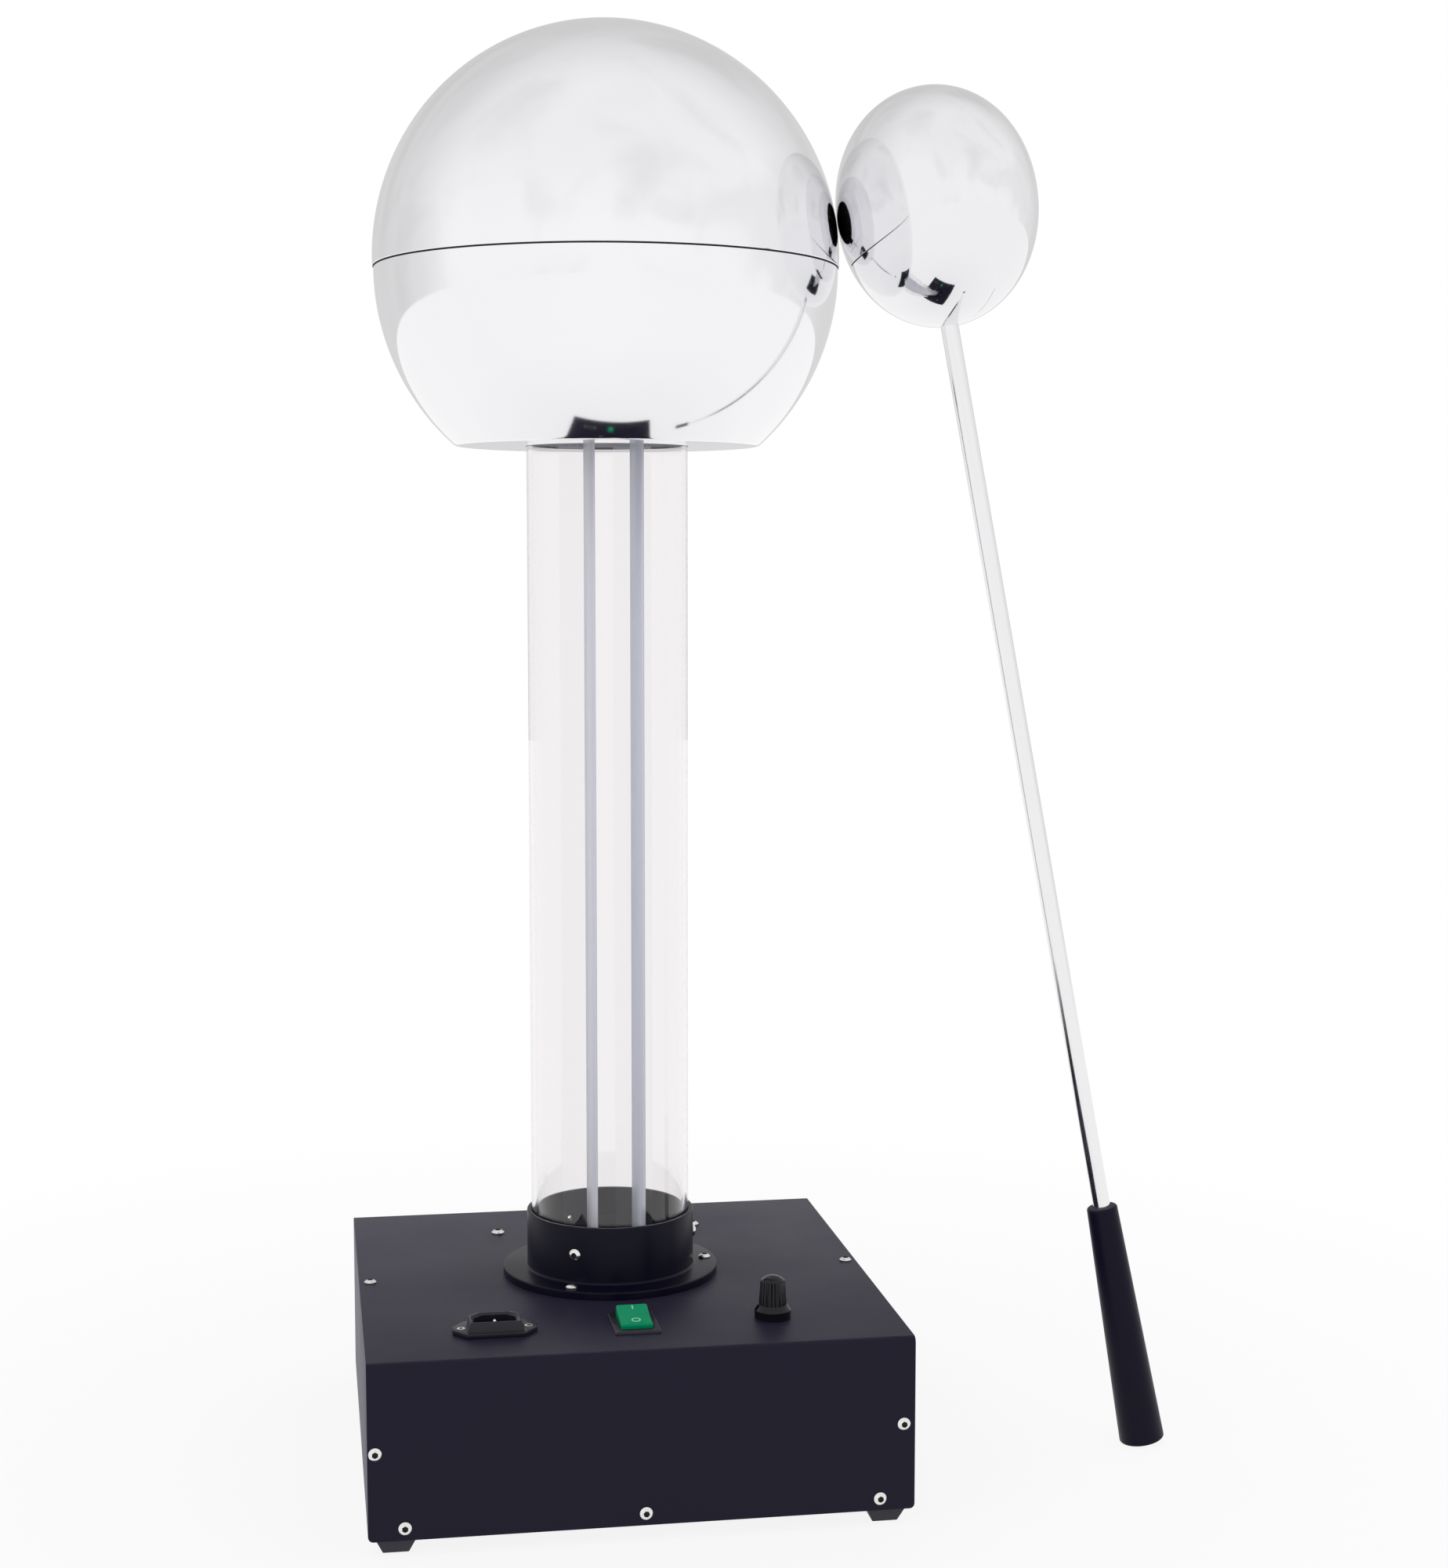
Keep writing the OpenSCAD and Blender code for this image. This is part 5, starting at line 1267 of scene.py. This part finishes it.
class GENERATOR_OT_stage(bpy.types.Operator):
    """Camera, floor, even daylight and one large soft lamp"""
    bl_idname = "generator.stage"
    bl_label = "Stage"

    def execute(self, context):
        settings = context.scene.stage_settings
        context.scene.view_settings.view_transform = "Standard"
        self.add_camera(context, settings)
        self.build_world(context, settings)
        self.add_floor(context, settings)
        self.add_lamp(context, settings)
        return {"FINISHED"}

    def add_camera(self, context, settings):
        camera = bpy.data.cameras.new("camera")
        camera.lens = settings.lens
        camera.shift_x, camera.shift_y = settings.shift
        camera.clip_end = 50
        eye = bpy.data.objects.new("camera", camera)
        eye.matrix_world = (Matrix.Translation(settings.camera) @ Matrix.Rotation(-settings.heading, 4, "Z")
                            @ Matrix.Rotation(pi / 2 - settings.pitch, 4, "X"))
        context.scene.collection.objects.link(eye)
        context.scene.camera = eye

    def build_world(self, context, settings):
        """Even light, and a white studio with a greyer back wall where it is seen or mirrored."""
        world = bpy.data.worlds.new("studio")
        context.scene.world = world
        world.use_nodes = True
        tree = world.node_tree
        background = tree.nodes["Background"]
        path = tree.nodes.new("ShaderNodeLightPath").outputs
        where = tree.nodes.new("ShaderNodeTexCoord").outputs["Generated"]
        parts = tree.nodes.new("ShaderNodeSeparateXYZ")
        tree.links.new(where, parts.inputs["Vector"])
        clouds = add_node(tree, "ShaderNodeTexNoise", Scale=settings.cloud_scale, Detail=3.0, Distortion=0.6)
        tree.links.new(where, clouds.inputs["Vector"])
        mirrored = path["Is Glossy Ray"]
        for mask, lowest, highest, dimmed in ((parts.outputs["Y"], -0.2, 0.9, settings.backdrop),
                                              (parts.outputs["Z"], 0.15, 0.85, settings.ceiling),
                                              (clouds.outputs["Fac"], 0.42, 0.72, settings.clouds)):
            ramp = tree.nodes.new("ShaderNodeMapRange")
            ramp.interpolation_type = "SMOOTHSTEP"
            limits = (("From Min", lowest), ("From Max", highest), ("To Min", 1.0), ("To Max", dimmed))
            for label, value in limits:
                ramp.inputs[label].default_value = value
            tree.links.new(mask, ramp.inputs["Value"])
            mirrored = maths(tree, "MULTIPLY", mirrored, ramp.outputs["Result"])
        white = maths(tree, "MAXIMUM", path["Is Camera Ray"], path["Is Transmission Ray"])
        seen = maths(tree, "MAXIMUM", white, mirrored)
        strength = maths(tree, "MAXIMUM", seen, settings.daylight)
        tree.links.new(strength, background.inputs["Strength"])
        background.inputs["Color"].default_value = (1, 1, 1, 1)

    def add_floor(self, context, settings):
        """Pale floor that keeps the object's shadow and fades to white away from it."""
        bm = bmesh.new()
        bmesh.ops.create_circle(bm, cap_ends=True, segments=96, radius=settings.floor_radius)
        mesh = bpy.data.meshes.new("floor")
        bm.to_mesh(mesh)
        bm.free()
        floor = bpy.data.objects.new("floor", mesh)
        context.scene.collection.objects.link(floor)
        material = bpy.data.materials.new("floor white")
        material.use_nodes = True
        tree = material.node_tree
        paper = tree.nodes["Principled BSDF"]
        paper.inputs["Base Color"].default_value = (*settings.floor, 1)
        paper.inputs["Roughness"].default_value = 0.9
        glow = add_node(tree, "ShaderNodeEmission", Strength=1.0)
        mix = tree.nodes.new("ShaderNodeMixShader")
        where = tree.nodes.new("ShaderNodeTexCoord").outputs["Object"]
        away = tree.nodes.new("ShaderNodeVectorMath")
        away.operation = "LENGTH"
        tree.links.new(where, away.inputs[0])
        fade = tree.nodes.new("ShaderNodeMapRange")
        for label, value in (("From Min", 0.25), ("From Max", 0.9), ("To Min", 0.88), ("To Max", 1.0)):
            fade.inputs[label].default_value = value
        tree.links.new(away.outputs["Value"], fade.inputs["Value"])
        whitened = maths(tree, "MULTIPLY", seen_directly(tree), fade.outputs["Result"])
        tree.links.new(whitened, mix.inputs["Fac"])
        tree.links.new(paper.outputs["BSDF"], mix.inputs[1])
        tree.links.new(glow.outputs["Emission"], mix.inputs[2])
        tree.links.new(mix.outputs["Shader"], tree.nodes["Material Output"].inputs["Surface"])
        mesh.materials.append(material)

    def add_lamp(self, context, settings):
        lamp = bpy.data.lights.new("key lamp", "AREA")
        lamp.shape = "RECTANGLE"
        lamp.size, lamp.size_y = settings.key_size
        lamp.energy = settings.key
        place = bpy.data.objects.new("key lamp", lamp)
        place.location = settings.key_place
        aim = Vector(settings.key_aim) - place.location
        place.rotation_euler = aim.to_track_quat("-Z", "Y").to_euler()
        place.visible_glossy = False
        context.scene.collection.objects.link(place)


# ---------- add-on ----------

OPERATORS = (
    GENERATOR_OT_materials, GENERATOR_OT_dome, GENERATOR_OT_column, GENERATOR_OT_belt, GENERATOR_OT_box,
    GENERATOR_OT_feet, GENERATOR_OT_screws, GENERATOR_OT_knob, GENERATOR_OT_inlet, GENERATOR_OT_switch,
    GENERATOR_OT_wand, GENERATOR_OT_works, GENERATOR_OT_stage,
)
GROUPS = {
    "dome_sizes": DomeSizes, "column_sizes": ColumnSizes, "box_sizes": BoxSizes,
    "control_sizes": ControlSizes, "wand_sizes": WandSizes, "finish_colours": FinishColours,
    "stage_settings": StageSettings,
}


class GENERATOR_PT_panel(bpy.types.Panel):
    """Sizes, colours and build steps of the generator"""
    bl_idname = "GENERATOR_PT_panel"
    bl_label = "Van de Graaff Generator"
    bl_space_type = "VIEW_3D"
    bl_region_type = "UI"
    bl_category = "Generator"

    def draw(self, context):
        for name in GROUPS:
            group = getattr(context.scene, name)
            box = self.layout.box()
            box.label(text=name.replace("_", " ").capitalize())
            for label in group.__annotations__:
                box.prop(group, label)
        for operator in OPERATORS:
            self.layout.operator(operator.bl_idname)


def register():
    for each in (*GROUPS.values(), *OPERATORS, GENERATOR_PT_panel):
        bpy.utils.register_class(each)
    for name, group in GROUPS.items():
        setattr(bpy.types.Scene, name, PointerProperty(type=group))


def unregister():
    for name in GROUPS:
        delattr(bpy.types.Scene, name)
    for each in (GENERATOR_PT_panel, *reversed(OPERATORS), *reversed(GROUPS.values())):
        bpy.utils.unregister_class(each)


def main():
    register()
    for operator in OPERATORS:
        category, name = operator.bl_idname.split(".")
        getattr(getattr(bpy.ops, category), name)()


if __name__ == "__main__":
    main()
